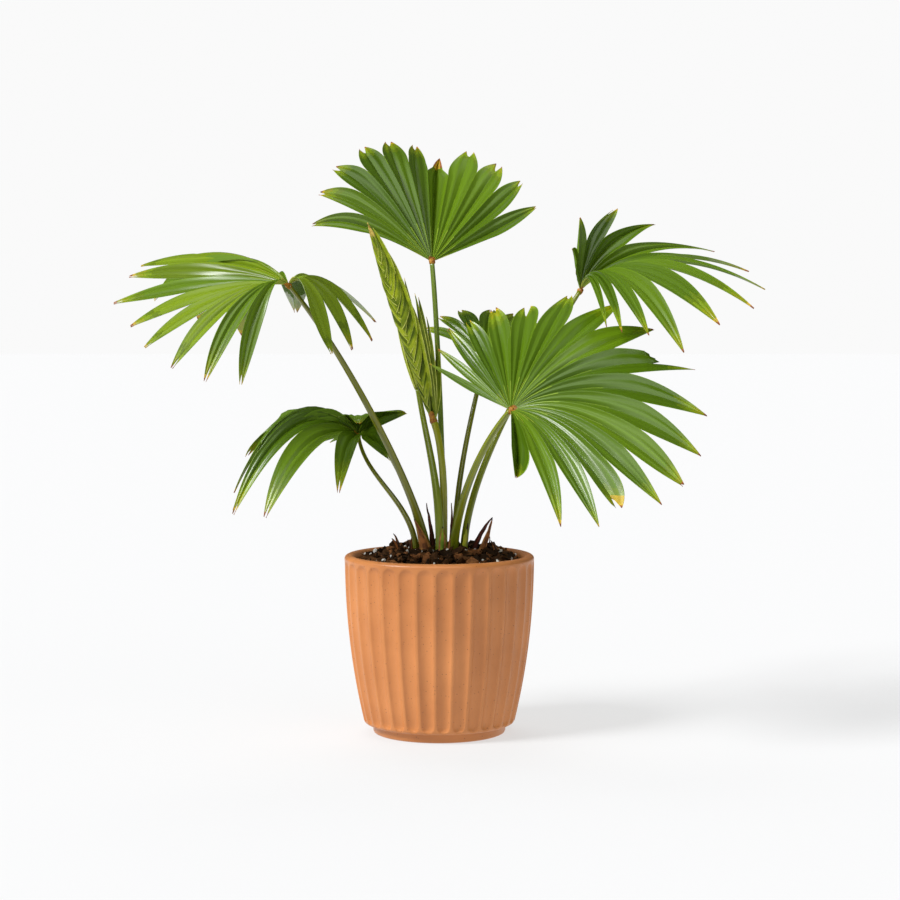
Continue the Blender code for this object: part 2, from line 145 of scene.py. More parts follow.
# The fans grow by the solids' rule: see bend, rib and joins.
Fan = namedtuple(
    "Fan",
    "name leaflets heading rise roll spread skew reach loss lop sway cup cup_ahead fold sag"
    " sag_lop sag_ahead bow trims bends",
    defaults=((),),
)
FANS = (
    Fan("top", 11, 55, 70, 51, 59, 12, 0.168, 0.74, 0.15, -0.10, -33, 4, 32,
        0.59, 0.87, -0.84, 2.1, {7: 1.05}),
    Fan("left", 16, 124, -24, -10, 149, 3, 0.225, 0.50, -0.03, -0.13, 46, -13,
        -7, 1.19, -0.04, -1.03, 0.4, {5: 1.08, 8: 0.90, 9: 0.72, 10: 0.58, 11: 0.45},
        ((3, 0, 0, 0), (6, 0, 20, 0.4), (8, 0, 50, 1.25), (10, 0, 38, 1.15), (12, 0, 0, 0))),
    Fan("low_left", 12, 129, -8, -37, 166, -20, 0.155, 0.43, 0.50, 0.04,
        41, 32, 36, 1.43, 0.73, 0.34, 1.0, {1: 1.05, 9: 0.70, 10: 1.42, 11: 0.94},
        ((5, 0, 0, 0), (8, 0, 0, 1.0), (9, 0, 6, 1.1), (10, 0, 0, 0.3), (11, 0, 0, 0))),
    Fan("young_left", 5, 170, -12, 20, 32, 0, 0.070, 0.2, 0, 0, 8, 0, 10,
        0.3, 0, 0, 1.5, {}),
    Fan("hidden", 8, 75, 34, 10, 66, 0, 0.085, 0.3, 0, 0, 15, 0, 5,
        0.6, 0, 0, 1.4, {}),
    Fan("front_right", 18, 32, 23, 16, 109, -4, 0.200, 0.5, -0.17, 0,
        28, 0, -8, 0.76, -1, 0, 0.7, {2: 1.08, 5: 0.90, 8: 0.95, 14: 0.89, 17: 0.64},
        ((12, 0, 0, 0), (14, 2, 0, 0), (16, 0, 0, 0), (17, -5, 0, 0))),
    Fan("right", 14, 45, 15, 18, 100, -20, 0.169, 0.49, -0.42, -0.13, 59, -11,
        21, 1.15, -0.22, -0.12, 0.4, {0: 0.45, 1: 0.80, 5: 1.08, 10: 1.07},
        ((9, 0, 0, 0), (10, 0, 0, 0.08), (11, 0, 0, 0))),
)
# Leaflets that are narrower than the rest, and the share of their width that is there.
NARROW = {"top": {5: 0.8, 6: 0.55}}
# Leaflets from this one on in the pale finish: painted light, for light that falls on that side of the
# fan.
PAINTED_LIGHT_FROM = {"left": 11}
# Leaflets with one half broken off: the half, and how far out it ends.
BROKEN = {"front_right": {9: (-1, 0.42), 14: (1, 0.88)}}
# Leaflets with one half's tip dried to yellow: the half, and where that starts.
DRIED = {"front_right": {14: (-1, 0.79)}}

HEART_BACK = 0.0014
HEART_POINT = 0.0048

# The closed leaf, from its neck to its tip.
SPEAR_ROOT = (-0.0072, -0.0015, 0.3325)
SPEAR_TIP = (-0.0748, -0.0045, 0.5365)
SPEAR_HALF_WIDTH = 0.0098
SPEAR_DEPTH = 0.55
SPEAR_FULLEST = 0.5
SPEAR_LEAN = 0.0044
SPEAR_SEAM = radians(-108)
SPEAR_FIRST_FOLD = -0.06
SPEAR_LAST_FOLD = 0.86
SPEAR_FOLD_STEPS = (0.052, 0.026)
SPEAR_FOLD_LENGTH = 0.090
SPEAR_TIP_FROM = 0.94
SPEAR_RISES = (0.110, 0.080)
SPEAR_SPANS = (radians(98), radians(76))
SPEAR_LIFT = 0.0013
SPEAR_NECK = (-0.0040, -0.0010, 0.3330)
PLEAT_TIPS = (
    (-0.0365, -0.0030, 0.4790), (-0.0256, -0.0015, 0.4632), (-0.0218, 0.0010, 0.4590),
    (-0.0134, 0.0030, 0.4385), (-0.0034, 0.0055, 0.4109),
)
PLEAT_HALF_WIDTH = 0.0044
SIDE_PLEATS = 7
SIDE_PLEAT_WIDTH = 0.0030
YOUNG_ROOT = (-0.0235, 0.0205, 0.3620)
YOUNG_TIP = (-0.0470, 0.0310, 0.4500)
YOUNG_LEAFLETS = 7

# Dry leaf bases and shoots: turn is the compass direction of the strip's own width.
Husk = namedtuple("Husk", "piece foot tip half_width taper turn cup bow finish edge")
HUSKS = (
    Husk("sheath_left", (-0.0100, -0.0210, 0.1830), (-0.0262, -0.0160, 0.2270), 0.0085, 1.0, 15, 0.35,
         (0.002, 0, 0), 1, 2),
    Husk("sheath_left", (-0.0260, -0.0180, 0.1830), (-0.0290, -0.0150, 0.2080), 0.0050, 1.6, 60, 0.5,
         (-0.001, 0, 0), 1, 3),
    Husk("sheath_right", (0.0330, -0.0060, 0.1830), (0.0562, -0.0070, 0.2280), 0.0030, 1.8, -20, 0.6,
         (-0.0036, 0, 0.003), 0, 3),
    Husk("sheath_right", (0.0405, -0.0090, 0.1830), (0.0560, -0.0074, 0.2275), 0.0042, 1.3, 20, 0.6,
         (0.0016, 0, -0.002), 1, 2),
    Husk("dry_bracts", (-0.0050, 0.0030, 0.1840), (-0.0136, 0.0040, 0.2420), 0.0042, 0.75, 10, 0.7,
         (0.001, 0, 0), 0, 3),
    Husk("dry_bracts", (0.0112, 0.0080, 0.1860), (0.0128, 0.0080, 0.2420), 0.0026, 0.8, 0, 0.7,
         (0.001, 0, 0), 0, 1),
    Husk("dry_bracts", (0.0080, -0.0240, 0.1840), (0.0110, -0.0230, 0.2090), 0.0030, 1.0, 10, 0.7,
         (0.001, 0, 0), 2, 1),
    Husk("dry_bracts", (0.0260, -0.0100, 0.1860), (0.0300, -0.0090, 0.2220), 0.0022, 1.4, 30, 0.6,
         (0.000, 0, 0), 3, 3),
    Husk("dry_bracts", (-0.0400, -0.0020, 0.1860), (-0.0484, -0.0010, 0.2102), 0.0026, 1.5, 40, 0.8,
         (0.002, 0, 0.003), 3, 1),
    Husk("dry_bracts", (-0.0400, -0.0060, 0.1850), (-0.0500, -0.0100, 0.2060), 0.0020, 1.5, 0, 0.8,
         (0.000, 0, 0.004), 1, 3),
    Husk("dry_bracts", (-0.0345, -0.0040, 0.1860), (-0.0330, -0.0020, 0.2040), 0.0032, 1.2, 30, 0.4,
         (0.000, 0, 0.001), 3, 3),
    Husk("dry_bracts", (0.0440, -0.0020, 0.1850), (0.0533, -0.0010, 0.2068), 0.0014, 1.5, 60, 0.6,
         (0.004, 0, 0.000), 3, 3),
    Husk("dry_bracts", (0.0600, -0.0060, 0.1840), (0.0540, -0.0040, 0.2030), 0.0030, 1.4, 30, 0.5,
         (0.003, 0, 0.002), 3, 1),
    Husk("shoots", (0.0030, -0.0270, 0.1830), (0.0038, -0.0215, 0.2195), 0.0042, 2.2, 8, 0.55,
         (0.000, -0.001, 0), 4, 2),
    Husk("shoots", (0.0262, -0.0170, 0.1830), (0.0292, -0.0150, 0.2180), 0.0023, 3.0, 10, 0.6,
         (-0.001, 0, 0), 5, 5),
    Husk("shoots", (0.0270, -0.0370, 0.1885), (0.0350, -0.0330, 0.1925), 0.0032, 2.2, -60, 0.4,
         (0.000, 0, 0.003), 4, 5),
)
TEETH = 12

GREENS = ((0.052, 0.104, 0.0022), (0.066, 0.127, 0.0026), (0.083, 0.152, 0.0032))
WARM_GREEN = (0.100, 0.158, 0.0030)
PALE_GREEN = (0.150, 0.228, 0.0050)
UNDER_GREEN = (0.105, 0.185, 0.016)
HEART_ORANGE = (0.420, 0.180, 0.012)
RIB_YELLOW = (0.400, 0.420, 0.050)
RIB_FADED = (0.190, 0.290, 0.020)
EDGE_GREEN = (0.125, 0.215, 0.007)
TIP_GREEN = (0.215, 0.240, 0.0035)
TIP_YELLOW = (0.420, 0.300, 0.015)
TIP_BROWN = (0.230, 0.080, 0.018)


def socket(group, name, kind, side, value=None):
    made = group.interface.new_socket(name=name, in_out=side, socket_type=kind)
    if value is not None:
        made.default_value = value
    return made


def mottle_group():
    """Two colours mixed by soft noise."""
    group = bpy.data.node_groups.new("mottle", "ShaderNodeTree")
    socket(group, "Place", "NodeSocketVector", "INPUT")
    socket(group, "First", "NodeSocketColor", "INPUT")
    socket(group, "Second", "NodeSocketColor", "INPUT")
    socket(group, "Scale", "NodeSocketFloat", "INPUT", 40.0)
    socket(group, "Low", "NodeSocketFloat", "INPUT", 0.4)
    socket(group, "High", "NodeSocketFloat", "INPUT", 0.6)
    socket(group, "Detail", "NodeSocketFloat", "INPUT", 4.0)
    socket(group, "Color", "NodeSocketColor", "OUTPUT")
    nodes, links = group.nodes, group.links
    given = nodes.new("NodeGroupInput")
    result = nodes.new("NodeGroupOutput")
    cloud = nodes.new("ShaderNodeTexNoise")
    links.new(given.outputs["Detail"], cloud.inputs["Detail"])
    spread = nodes.new("ShaderNodeMapRange")
    blend = nodes.new("ShaderNodeMix")
    blend.data_type = "RGBA"
    links.new(given.outputs["Place"], cloud.inputs["Vector"])
    links.new(given.outputs["Scale"], cloud.inputs["Scale"])
    links.new(cloud.outputs["Fac"], spread.inputs["Value"])
    links.new(given.outputs["Low"], spread.inputs["From Min"])
    links.new(given.outputs["High"], spread.inputs["From Max"])
    links.new(spread.outputs["Result"], blend.inputs["Factor"])
    links.new(given.outputs["First"], blend.inputs[6])
    links.new(given.outputs["Second"], blend.inputs[7])
    links.new(blend.outputs[2], result.inputs["Color"])
    return group


def grain_group():
    """A bump from fine noise."""
    group = bpy.data.node_groups.new("grain", "ShaderNodeTree")
    socket(group, "Place", "NodeSocketVector", "INPUT")
    socket(group, "Scale", "NodeSocketFloat", "INPUT", 400.0)
    socket(group, "Strength", "NodeSocketFloat", "INPUT", 0.2)
    socket(group, "Height", "NodeSocketFloat", "INPUT", 0.0005)
    socket(group, "Detail", "NodeSocketFloat", "INPUT", 6.0)
    socket(group, "Normal", "NodeSocketVector", "OUTPUT")
    nodes, links = group.nodes, group.links
    given = nodes.new("NodeGroupInput")
    result = nodes.new("NodeGroupOutput")
    cloud = nodes.new("ShaderNodeTexNoise")
    bump = nodes.new("ShaderNodeBump")
    links.new(given.outputs["Detail"], cloud.inputs["Detail"])
    links.new(given.outputs["Place"], cloud.inputs["Vector"])
    links.new(given.outputs["Scale"], cloud.inputs["Scale"])
    links.new(cloud.outputs["Fac"], bump.inputs["Height"])
    links.new(given.outputs["Strength"], bump.inputs["Strength"])
    links.new(given.outputs["Height"], bump.inputs["Distance"])
    links.new(bump.outputs["Normal"], result.inputs["Normal"])
    return group


MOTTLE = mottle_group()
GRAIN = grain_group()


def material(name, first, second, roughness, scale=40.0, grain=400.0, strength=0.2, coat=0.0,
             low=0.4, high=0.6, stretch=None, shine=0.3, detail=6.0, height=0.0005,
             clouds=4.0):
    """A Principled finish: two colours mottled, with a fine grain. stretch runs both along UV."""
    made = bpy.data.materials.new(name)
    made.use_nodes = True
    nodes, links = made.node_tree.nodes, made.node_tree.links
    shader = nodes["Principled BSDF"]
    shader.inputs["Roughness"].default_value = roughness
    shader.inputs["Specular IOR Level"].default_value = shine
    shader.inputs["Coat Weight"].default_value = coat
    shader.inputs["Coat Roughness"].default_value = 0.25
    place = nodes.new("ShaderNodeTexCoord")
    colour = nodes.new("ShaderNodeGroup")
    colour.node_tree = MOTTLE
    colour.inputs["First"].default_value = (*first, 1)
    colour.inputs["Second"].default_value = (*second, 1)
    colour.inputs["Scale"].default_value = scale
    colour.inputs["Low"].default_value = low
    colour.inputs["High"].default_value = high
    colour.inputs["Detail"].default_value = clouds
    relief = nodes.new("ShaderNodeGroup")
    relief.node_tree = GRAIN
    relief.inputs["Scale"].default_value = grain
    relief.inputs["Strength"].default_value = strength
    relief.inputs["Detail"].default_value = detail
    relief.inputs["Height"].default_value = height
    where = place.outputs["Object"]
    if stretch:
        turn = nodes.new("ShaderNodeMapping")
        turn.inputs["Scale"].default_value = stretch
        links.new(place.outputs["UV"], turn.inputs["Vector"])
        where = turn.outputs["Vector"]
    links.new(where, colour.inputs["Place"])
    links.new(where, relief.inputs["Place"])
    links.new(colour.outputs["Color"], shader.inputs["Base Color"])
    links.new(relief.outputs["Normal"], shader.inputs["Normal"])
    return made


def lighter(colour, share):
    return tuple(min(part * share, 1.0) for part in colour)


def clay_finish():
    """Fired clay: warm tan, clouded, with fine dark specks."""
    made = material("clay", (0.50, 0.180, 0.050), (0.62, 0.238, 0.072), 0.36, scale=18.0,
                    grain=1400.0, strength=0.10, low=0.3, high=0.7, shine=0.45)
    nodes, links = made.node_tree.nodes, made.node_tree.links
    shader = nodes["Principled BSDF"]
    place = nodes["Texture Coordinate"]
    cells = nodes.new("ShaderNodeTexVoronoi")
    cells.inputs["Scale"].default_value = 260.0
    dots = nodes.new("ShaderNodeMapRange")
    dots.inputs["From Min"].default_value = 0.10
    dots.inputs["From Max"].default_value = 0.16
    dots.inputs["To Min"].default_value = 1.0
    dots.inputs["To Max"].default_value = 0.0
    few = nodes.new("ShaderNodeMapRange")
    few.inputs["From Min"].default_value = 0.30
    few.inputs["From Max"].default_value = 0.60
    parted = nodes.new("ShaderNodeSeparateColor")
    both = nodes.new("ShaderNodeMath")
    both.operation = "MULTIPLY"
    blend = nodes.new("ShaderNodeMix")
    blend.data_type = "RGBA"
    blend.inputs[7].default_value = (0.26, 0.085, 0.030, 1)
    links.new(place.outputs["Object"], cells.inputs["Vector"])
    links.new(cells.outputs["Distance"], dots.inputs["Value"])
    links.new(cells.outputs["Color"], parted.inputs["Color"])
    links.new(parted.outputs["Red"], few.inputs["Value"])
    links.new(dots.outputs["Result"], both.inputs[0])
    links.new(few.outputs["Result"], both.inputs[1])
    links.new(both.outputs["Value"], blend.inputs["Factor"])
    before = shader.inputs["Base Color"].links[0].from_socket
    links.new(before, blend.inputs[6])
    links.new(blend.outputs[2], shader.inputs["Base Color"])
    return made


CLAY = clay_finish()
SOILS = tuple(
    material(f"bark_{number}", tone, lighter(tone, 1.9), 0.8, scale=300.0, grain=900.0, strength=0.6,
             shine=0.08)
    for number, tone in enumerate((
        (0.009, 0.004, 0.001), (0.024, 0.010, 0.003), (0.052, 0.022, 0.007), (0.105, 0.042, 0.014)))
)
WHITE_GRIT = material("white_grit", (0.62, 0.60, 0.55), (0.78, 0.77, 0.73), 0.8, scale=500.0)
STALK_FINISHES = {
    "olive": ((0.112, 0.124, 0.004), (0.185, 0.192, 0.008)),
    "pale": ((0.170, 0.225, 0.014), (0.250, 0.310, 0.028)),
    "cool": ((0.110, 0.170, 0.018), (0.165, 0.235, 0.030)),
    "yellow": ((0.250, 0.275, 0.005), (0.340, 0.335, 0.010)),
    "fresh": ((0.145, 0.180, 0.004), (0.240, 0.270, 0.008)),
}
for finish_name, tones in STALK_FINISHES.items():
    STALK_FINISHES[finish_name] = material(
        f"stalk_{finish_name}", tones[0], tones[1], 0.22, scale=6.0, grain=30.0, strength=0.15,
        stretch=(1.0, 0.5, 1.0), shine=0.5, detail=2.0)
HEART = material("heart", (0.25, 0.085, 0.012), (0.46, 0.220, 0.022), 0.45, scale=260.0)
HUSK = material("husk", (0.045, 0.010, 0.004), (0.150, 0.040, 0.012), 0.6, scale=120.0, grain=300.0,
                strength=0.5)
# The closed leaf's finishes: the edge finish is a painted highlight on fold edges, the gap and shade
# finishes are painted shade.
SPEAR_FINISHES = [
    material("spear_green", (0.195, 0.265, 0.003), (0.300, 0.360, 0.008), 0.38, scale=120.0,
             grain=500.0, strength=0.20),
    material("spear_deep", (0.100, 0.145, 0.002), (0.165, 0.220, 0.003), 0.38, scale=120.0,
             grain=500.0, strength=0.20),
    material("spear_edge_highlight", (0.420, 0.470, 0.060), (0.560, 0.600, 0.130), 0.45, scale=200.0),
    material("spear_gap_shade", (0.020, 0.032, 0.001), (0.040, 0.060, 0.001), 0.7, scale=120.0, shine=0.1),
    material("spear_tip", (0.300, 0.190, 0.030), (0.560, 0.420, 0.090), 0.6, scale=260.0),
    material("spear_shade", (0.045, 0.072, 0.001), (0.080, 0.115, 0.002), 0.5, scale=120.0, shine=0.15),
]
HUSK_FINISHES = [
    material("husk_red", (0.060, 0.008, 0.003), (0.130, 0.020, 0.006), 0.5, scale=160.0, grain=500.0,
             strength=0.4),
    material("husk_brown", (0.120, 0.038, 0.008), (0.300, 0.105, 0.022), 0.6, scale=140.0,
             grain=500.0, strength=0.6),
    material("husk_tan", (0.260, 0.095, 0.020), (0.420, 0.190, 0.050), 0.6, scale=180.0, grain=500.0,
             strength=0.5),
    material("husk_dark", (0.018, 0.006, 0.003), (0.050, 0.018, 0.007), 0.7, scale=200.0),
    material("shoot_green", (0.120, 0.210, 0.006), (0.220, 0.310, 0.012), 0.4, scale=120.0),
    material("shoot_yellow", (0.290, 0.330, 0.010), (0.420, 0.420, 0.020), 0.4, scale=120.0),
]


def leaf_finish(name, tone, share, roughness=0.30, shine=0.34, coat=0.06):
    return material(name, tone, lighter(tone, share), roughness, scale=8.0, grain=11.0, strength=0.3,
                    coat=coat, low=0.3, high=0.7, stretch=(1.0, 0.04, 1.0), shine=shine, detail=1.0,
                    height=0.0004, clouds=1.0)


def leaf_materials():
    """Upper finishes first, then the same ones as they look from below."""
    upper = [leaf_finish(f"leaf_{number}", tone, 1.45) for number, tone in enumerate(GREENS)]
    under = leaf_finish("leaf_under", UNDER_GREEN, 1.3, 0.6, 0.06, 0.0)
    plain = [
        material("leaf_heart", HEART_ORANGE, lighter(HEART_ORANGE, 0.5), 0.45, scale=300.0),
        material("leaf_rib", RIB_YELLOW, lighter(RIB_YELLOW, 1.2), 0.4, scale=90.0),
        material("leaf_rib_faded", RIB_FADED, lighter(RIB_FADED, 1.2), 0.4, scale=90.0),
        material("leaf_edge", EDGE_GREEN, lighter(EDGE_GREEN, 1.3), 0.4, scale=90.0),
        leaf_finish("leaf_warm", WARM_GREEN, 1.35),
        leaf_finish("leaf_pale", PALE_GREEN, 1.35),
        leaf_finish("leaf_tip_green", TIP_GREEN, 1.3),
        material("leaf_tip_yellow", TIP_YELLOW, lighter(TIP_YELLOW, 1.3), 0.45, scale=200.0),
        material("leaf_tip_brown", TIP_BROWN, lighter(TIP_BROWN, 1.7), 0.6, scale=260.0),
        leaf_finish("leaf_shaded", GREENS[1], 1.3, 0.6, 0.05, 0.0),
    ]
    return upper + plain + [under] * len(upper) + plain


LEAF_MATERIALS = leaf_materials()
HEARTED, RIB, RIB_FADES, EDGE, WARM, PALE, TIP_FRESH, TIP_OLD, TIP_DEAD, SHADED = (
    len(GREENS) + step for step in range(10))
# Fans whose leaflets are painted lighter than the others': painted light, for the light and sheen that
# fall on that fan.
PAINTED_LIGHT_TONES = {"left": (2, 2, WARM, PALE)}
# Leaflets that hang in the shade under their hub.
SHADED_LEAFLETS = {"left": (9, 10, 11)}


def add_piece(name, bm, finishes, slot, *nodes):
    mesh = bpy.data.meshes.new(name)
    bm.to_mesh(mesh)
    bm.free()
    mesh.shade_smooth()
    for finish in finishes:
        mesh.materials.append(finish)
    piece = bpy.data.objects.new(name, mesh)
    bpy.context.scene.collection.objects.link(piece)
    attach(piece, "root")
    if nodes:
        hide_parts(*nodes)
    return piece


def turned(profile, sides):
    """A closed solid turned about Z from a profile whose two ends are on the axis."""
    bm = bmesh.new()
    points = [bm.verts.new((radius, 0.0, height)) for radius, height in profile]
    lines = [bm.edges.new(pair) for pair in zip(points, points[1:])]
    bmesh.ops.spin(bm, geom=points + lines, cent=(0, 0, 0), axis=(0, 0, 1), angle=2 * pi,
                   steps=sides, use_merge=True, use_duplicate=False)
    bmesh.ops.remove_doubles(bm, verts=bm.verts, dist=0.00001)
    bmesh.ops.recalc_face_normals(bm, faces=bm.faces)
    return bm


def wall_radius(height):
    climb = (height - POT_WALL_BASE) / (POT_HEIGHT - POT_WALL_BASE)
    return POT_RIM_RADIUS - (POT_RIM_RADIUS - POT_WALL_BASE_RADIUS) * (1 - climb) ** POT_SWELL


def inner_radius(height):
    climb = (height - POT_FLOOR) / (POT_HEIGHT - POT_FLOOR)
    return POT_FLOOR_RADIUS + (POT_INNER_RIM_RADIUS - POT_FLOOR_RADIUS) * climb


def flute(turn, height):
    """How deep the flutes are there, from 0 on the ridges to 1: round hollows with round ends."""
    to_end = min(height - FLUTE_LOW, FLUTE_HIGH - height)
    off = abs(((turn - FLUTE_TURN) / (2 * pi) * FLUTES) % 1 - 0.5) * 2
    reach = hypot(off / FLUTE_SHARE, max(1 - to_end / FLUTE_ROUND, 0))
    rim = sqrt(FLUTE_ARC ** 2 - 1)
    hollow = (sqrt(FLUTE_ARC ** 2 - min(reach, FLUTE_ARC) ** 2) - rim) / (FLUTE_ARC - rim)
    return (hollow + sqrt(hollow ** 2 + FLUTE_EDGE ** 2)) / 2


def pot_profile():
    outer = [(0, 0), (POT_FOOT_RADIUS - 0.0022, 0), (POT_FOOT_RADIUS - 0.0008, 0.0006),
             (POT_FOOT_RADIUS, 0.0022), (POT_FOOT_RADIUS, POT_FOOT_HEIGHT - 0.001),
             (POT_FOOT_RADIUS + 0.0008, POT_FOOT_HEIGHT),
             (POT_WALL_BASE_RADIUS - 0.0035, POT_FOOT_HEIGHT + 0.0009),
             (POT_WALL_BASE_RADIUS - 0.0012, POT_FOOT_HEIGHT + 0.0022)]
    low = POT_WALL_BASE
    high = POT_HEIGHT - POT_LIP
    for step in range(WALL_STEPS + 1):
        share = step / WALL_STEPS
        even = 0.5 - 0.5 * cos(pi * share)
        height = low + (high - low) * (0.25 * share + 0.75 * even)
        outer.append((wall_radius(height), height))
    lip = []
    for step in range(1, 12):
        turn = pi * step / 12
        middle = (POT_RIM_RADIUS + POT_INNER_RIM_RADIUS) / 2
        half = (POT_RIM_RADIUS - POT_INNER_RIM_RADIUS) / 2
        lip.append((middle + half * cos(turn), high + POT_LIP * sin(turn)))
    inner = [(inner_radius(height), height) for height in (0.184, 0.182, 0.180, 0.176, 0.170)]
    inner += [(POT_FLOOR_RADIUS, POT_FLOOR), (0, POT_FLOOR)]
    return outer + lip + inner


def make_pot():
    bm = turned(pot_profile(), POT_SIDES)
    for point in bm.verts:
        radius = point.co.xy.length
        if radius > inner_radius(point.co.z) + 0.0035 and radius > POT_FOOT_RADIUS + 0.003:
            depth = flute(atan2(point.co.y, point.co.x), point.co.z)
            point.co.xy *= 1 - FLUTE_DEPTH * depth / radius
    return add_piece("fluted_pot", bm, [CLAY], "clay", "pot")


def soil_height(radius):
    edge = inner_radius(SOIL_EDGE) - 0.0005
    share = min((edge - radius) / (edge - SOIL_FLAT_RADIUS), 1)
    return SOIL_EDGE + (SOIL_TOP - SOIL_EDGE) * sin(share * pi / 2) - 0.0035


def make_soil():
    edge = inner_radius(SOIL_EDGE) - 0.0004
    rings = [(edge * (1 - step / 26), soil_height(edge * (1 - step / 26))) for step in range(26)]
    profile = [(0, POT_FLOOR + 0.0003), (POT_FLOOR_RADIUS - 0.0005, POT_FLOOR + 0.0003)]
    profile += rings + [(0, soil_height(0))]
    bm = turned(profile, 110)
    for point in bm.verts:
        if point.co.z > SOIL_EDGE - 0.006:
            lump = noise.noise(point.co * 260) * 0.0012 + noise.noise(point.co * 90) * 0.0014
            point.co.z += lump
    return add_piece("soil_bed", bm, [SOILS[0]], "soil", "soil")


def scatter(name, count, seed, sizes, finishes, slot, flat, lift, rough):
    """Small lumps lying on the soil, each with its own size, turn and finish."""
    rng = Random(seed)
    bm = bmesh.new()
    edge = inner_radius(SOIL_EDGE) - 0.004
    for _ in range(count):
        radius = edge * sqrt(rng.random())
        turn = rng.uniform(0, 2 * pi)
        size = rng.uniform(*sizes)
        shape = (size * rng.uniform(0.7, 1.6), size * rng.uniform(0.5, 0.9),
                 size * rng.uniform(flat, flat * 1.8))
        tilt = Euler((rng.gauss(0, 0.4), rng.gauss(0, 0.4), rng.uniform(0, 2 * pi)))
        radius = min(radius, edge - size * 0.8)
        place = Vector((radius * cos(turn), radius * sin(turn), 0))
        place.z = soil_height(radius) + rng.uniform(0.2, 1.0) * lift
        here = Matrix.LocRotScale(place, tilt, shape)
        made = bmesh.ops.create_icosphere(bm, subdivisions=1, radius=1, matrix=here)["verts"]
        for point in made:
            point.co += Vector([rng.uniform(-rough, rough) * size for _ in range(3)])
        tone = min(int(rng.random() ** 1.5 * len(finishes)), len(finishes) - 1)
        for face in {face for point in made for face in point.link_faces}:
            face.material_index = tone
    piece = add_piece(name, bm, finishes, slot)
    piece.data.set_sharp_from_angle(angle=radians(28))
    return piece


def limb_mesh(sides, steps, place, paint=None):
    """A closed limb: a cylinder cut into rings, each point moved where place says."""
    bm = bmesh.new()
    bmesh.ops.create_cone(bm, cap_ends=True, segments=sides, radius1=1, radius2=1, depth=1)
    uprights = [line for line in bm.edges if abs(line.verts[0].co.z - line.verts[1].co.z) > 0.5]
    bmesh.ops.subdivide_edges(bm, edges=uprights, cuts=steps - 1, use_grid_fill=True)
    at = {point: (point.co.z + 0.5, atan2(point.co.y, point.co.x)) for point in bm.verts}
    chart = bm.loops.layers.uv.new("limb")
    for face in bm.faces:
        first = at[face.loops[0].vert][1]
        shares, turns = [], []
        for corner in face.loops:
            share, turn = at[corner.vert]
            if turn - first > pi:
                turn -= 2 * pi
            if first - turn > pi:
                turn += 2 * pi
            shares.append(share)
            turns.append(turn)
            corner[chart].uv = (turn / (2 * pi), share)
        if paint:
            face.material_index = paint(sum(shares) / len(shares), sum(turns) / len(turns))
    for point, (share, turn) in at.items():
        point.co = place(share, turn)
    bmesh.ops.recalc_face_normals(bm, faces=bm.faces)
    return bm


def bezier(points, share):
    a, b, c, d = points
    rest = 1 - share
    return a * rest ** 3 + 3 * b * rest ** 2 * share + 3 * c * rest * share ** 2 + d * share ** 3


def stalk_line(stalk):
    foot = Vector((*stalk.foot, SOIL_TOP - 0.006))
    rising = foot + Vector((0, 0, stalk.upright))
    bend = Vector(stalk.bend)
    hub = Vector(stalk.hub)
    back = (bend - hub).normalized() * STALK_TO_BLADE
    return foot, rising, bend + back, hub + back


def make_stalk(stalk):
    """A stalk: thick and clasping at its foot, slender and channelled further up."""
    line = stalk_line(stalk)

    def place(share, turn):
        here = bezier(line, share)
        ahead = (bezier(line, min(share + 0.01, 1)) - bezier(line, max(share - 0.01, 0))).normalized()
        lean = Vector(stalk.hub) - Vector((0, 0, stalk.hub[2]))
        across = ahead.cross(Vector((lean.x, lean.y, 0.02))).normalized()
        upper = across.cross(ahead).normalized()
        radius = stalk.foot_radius + (stalk.neck_radius - stalk.foot_radius) * share
        radius *= 1 + 0.22 * exp(-share / 0.035)
        channel = 1 - 0.24 * exp(-((turn - pi / 2) / 0.55) ** 2)
        ripple = 1 + 0.02 * noise.noise(Vector((cos(turn), sin(turn), share * 14)))
        return here + (across * cos(turn) + upper * sin(turn) * 0.92) * radius * channel * ripple

    bm = limb_mesh(20, 70, place)
    return add_piece(f"stem_{stalk.name}", bm, [STALK_FINISHES[stalk.finish]], "stalk",
                     f"stalk_{stalk.name}")


def fan_axes(fan):
    """The middle leaflet's direction, the side that counts as positive, and the upper side."""
    turn, rise, roll = radians(fan.heading), radians(fan.rise), radians(fan.roll)
    ahead = Vector((cos(rise) * cos(turn), cos(rise) * sin(turn), sin(rise)))
    level = Vector((-sin(turn), cos(turn), 0))
    above = ahead.cross(level)
    side = cos(roll) * level + sin(roll) * above
    upper = -sin(roll) * level + cos(roll) * above
    return ahead, side, upper


def bend(fan, place):
    """How far a leaflet is turned round the fan and lifted, in degrees, and how it sags more."""
    if not fan.bends:
        return 0.0, 0.0, 0.0
    for (low, *first), (high, *second) in zip(fan.bends, fan.bends[1:]):
        if place <= high:
            share = max(place - low, 0) / (high - low)
            return tuple(a + (b - a) * share for a, b in zip(first, second))
    return fan.bends[-1][1:]


def rib(fan, hub, place, length_share=1.0):
    """Points along the rib at a place in the fan: 0 is the first leaflet's middle."""
    ahead, side, upper = fan_axes(fan)
    turn, raised, drop = bend(fan, place)
    angle = radians(fan.skew + fan.spread * (1 - 2 * place / (fan.leaflets - 1)) + turn)
    length = fan.reach * (1 - fan.loss * (1 - cos(angle)) / 2 + fan.lop * sin(angle)
                          + fan.sway * sin(2 * angle))
    lift = radians(fan.cup + fan.cup_ahead * cos(angle) + fan.fold * abs(sin(angle)) + raised)
    start = cos(lift) * (cos(angle) * ahead + sin(angle) * side) + sin(lift) * upper
    sag = max(fan.sag * (1 + fan.sag_lop * sin(angle) + fan.sag_ahead * cos(angle)) + drop, 0)
    points = [hub.copy()]
    for step in range(RIB_STEPS):
        along = (step + 0.5) / RIB_STEPS
        way = start + Vector((0, 0, -sag * along ** fan.bow))
        points.append(points[-1] + way.normalized() * length * length_share / RIB_STEPS)
    return points


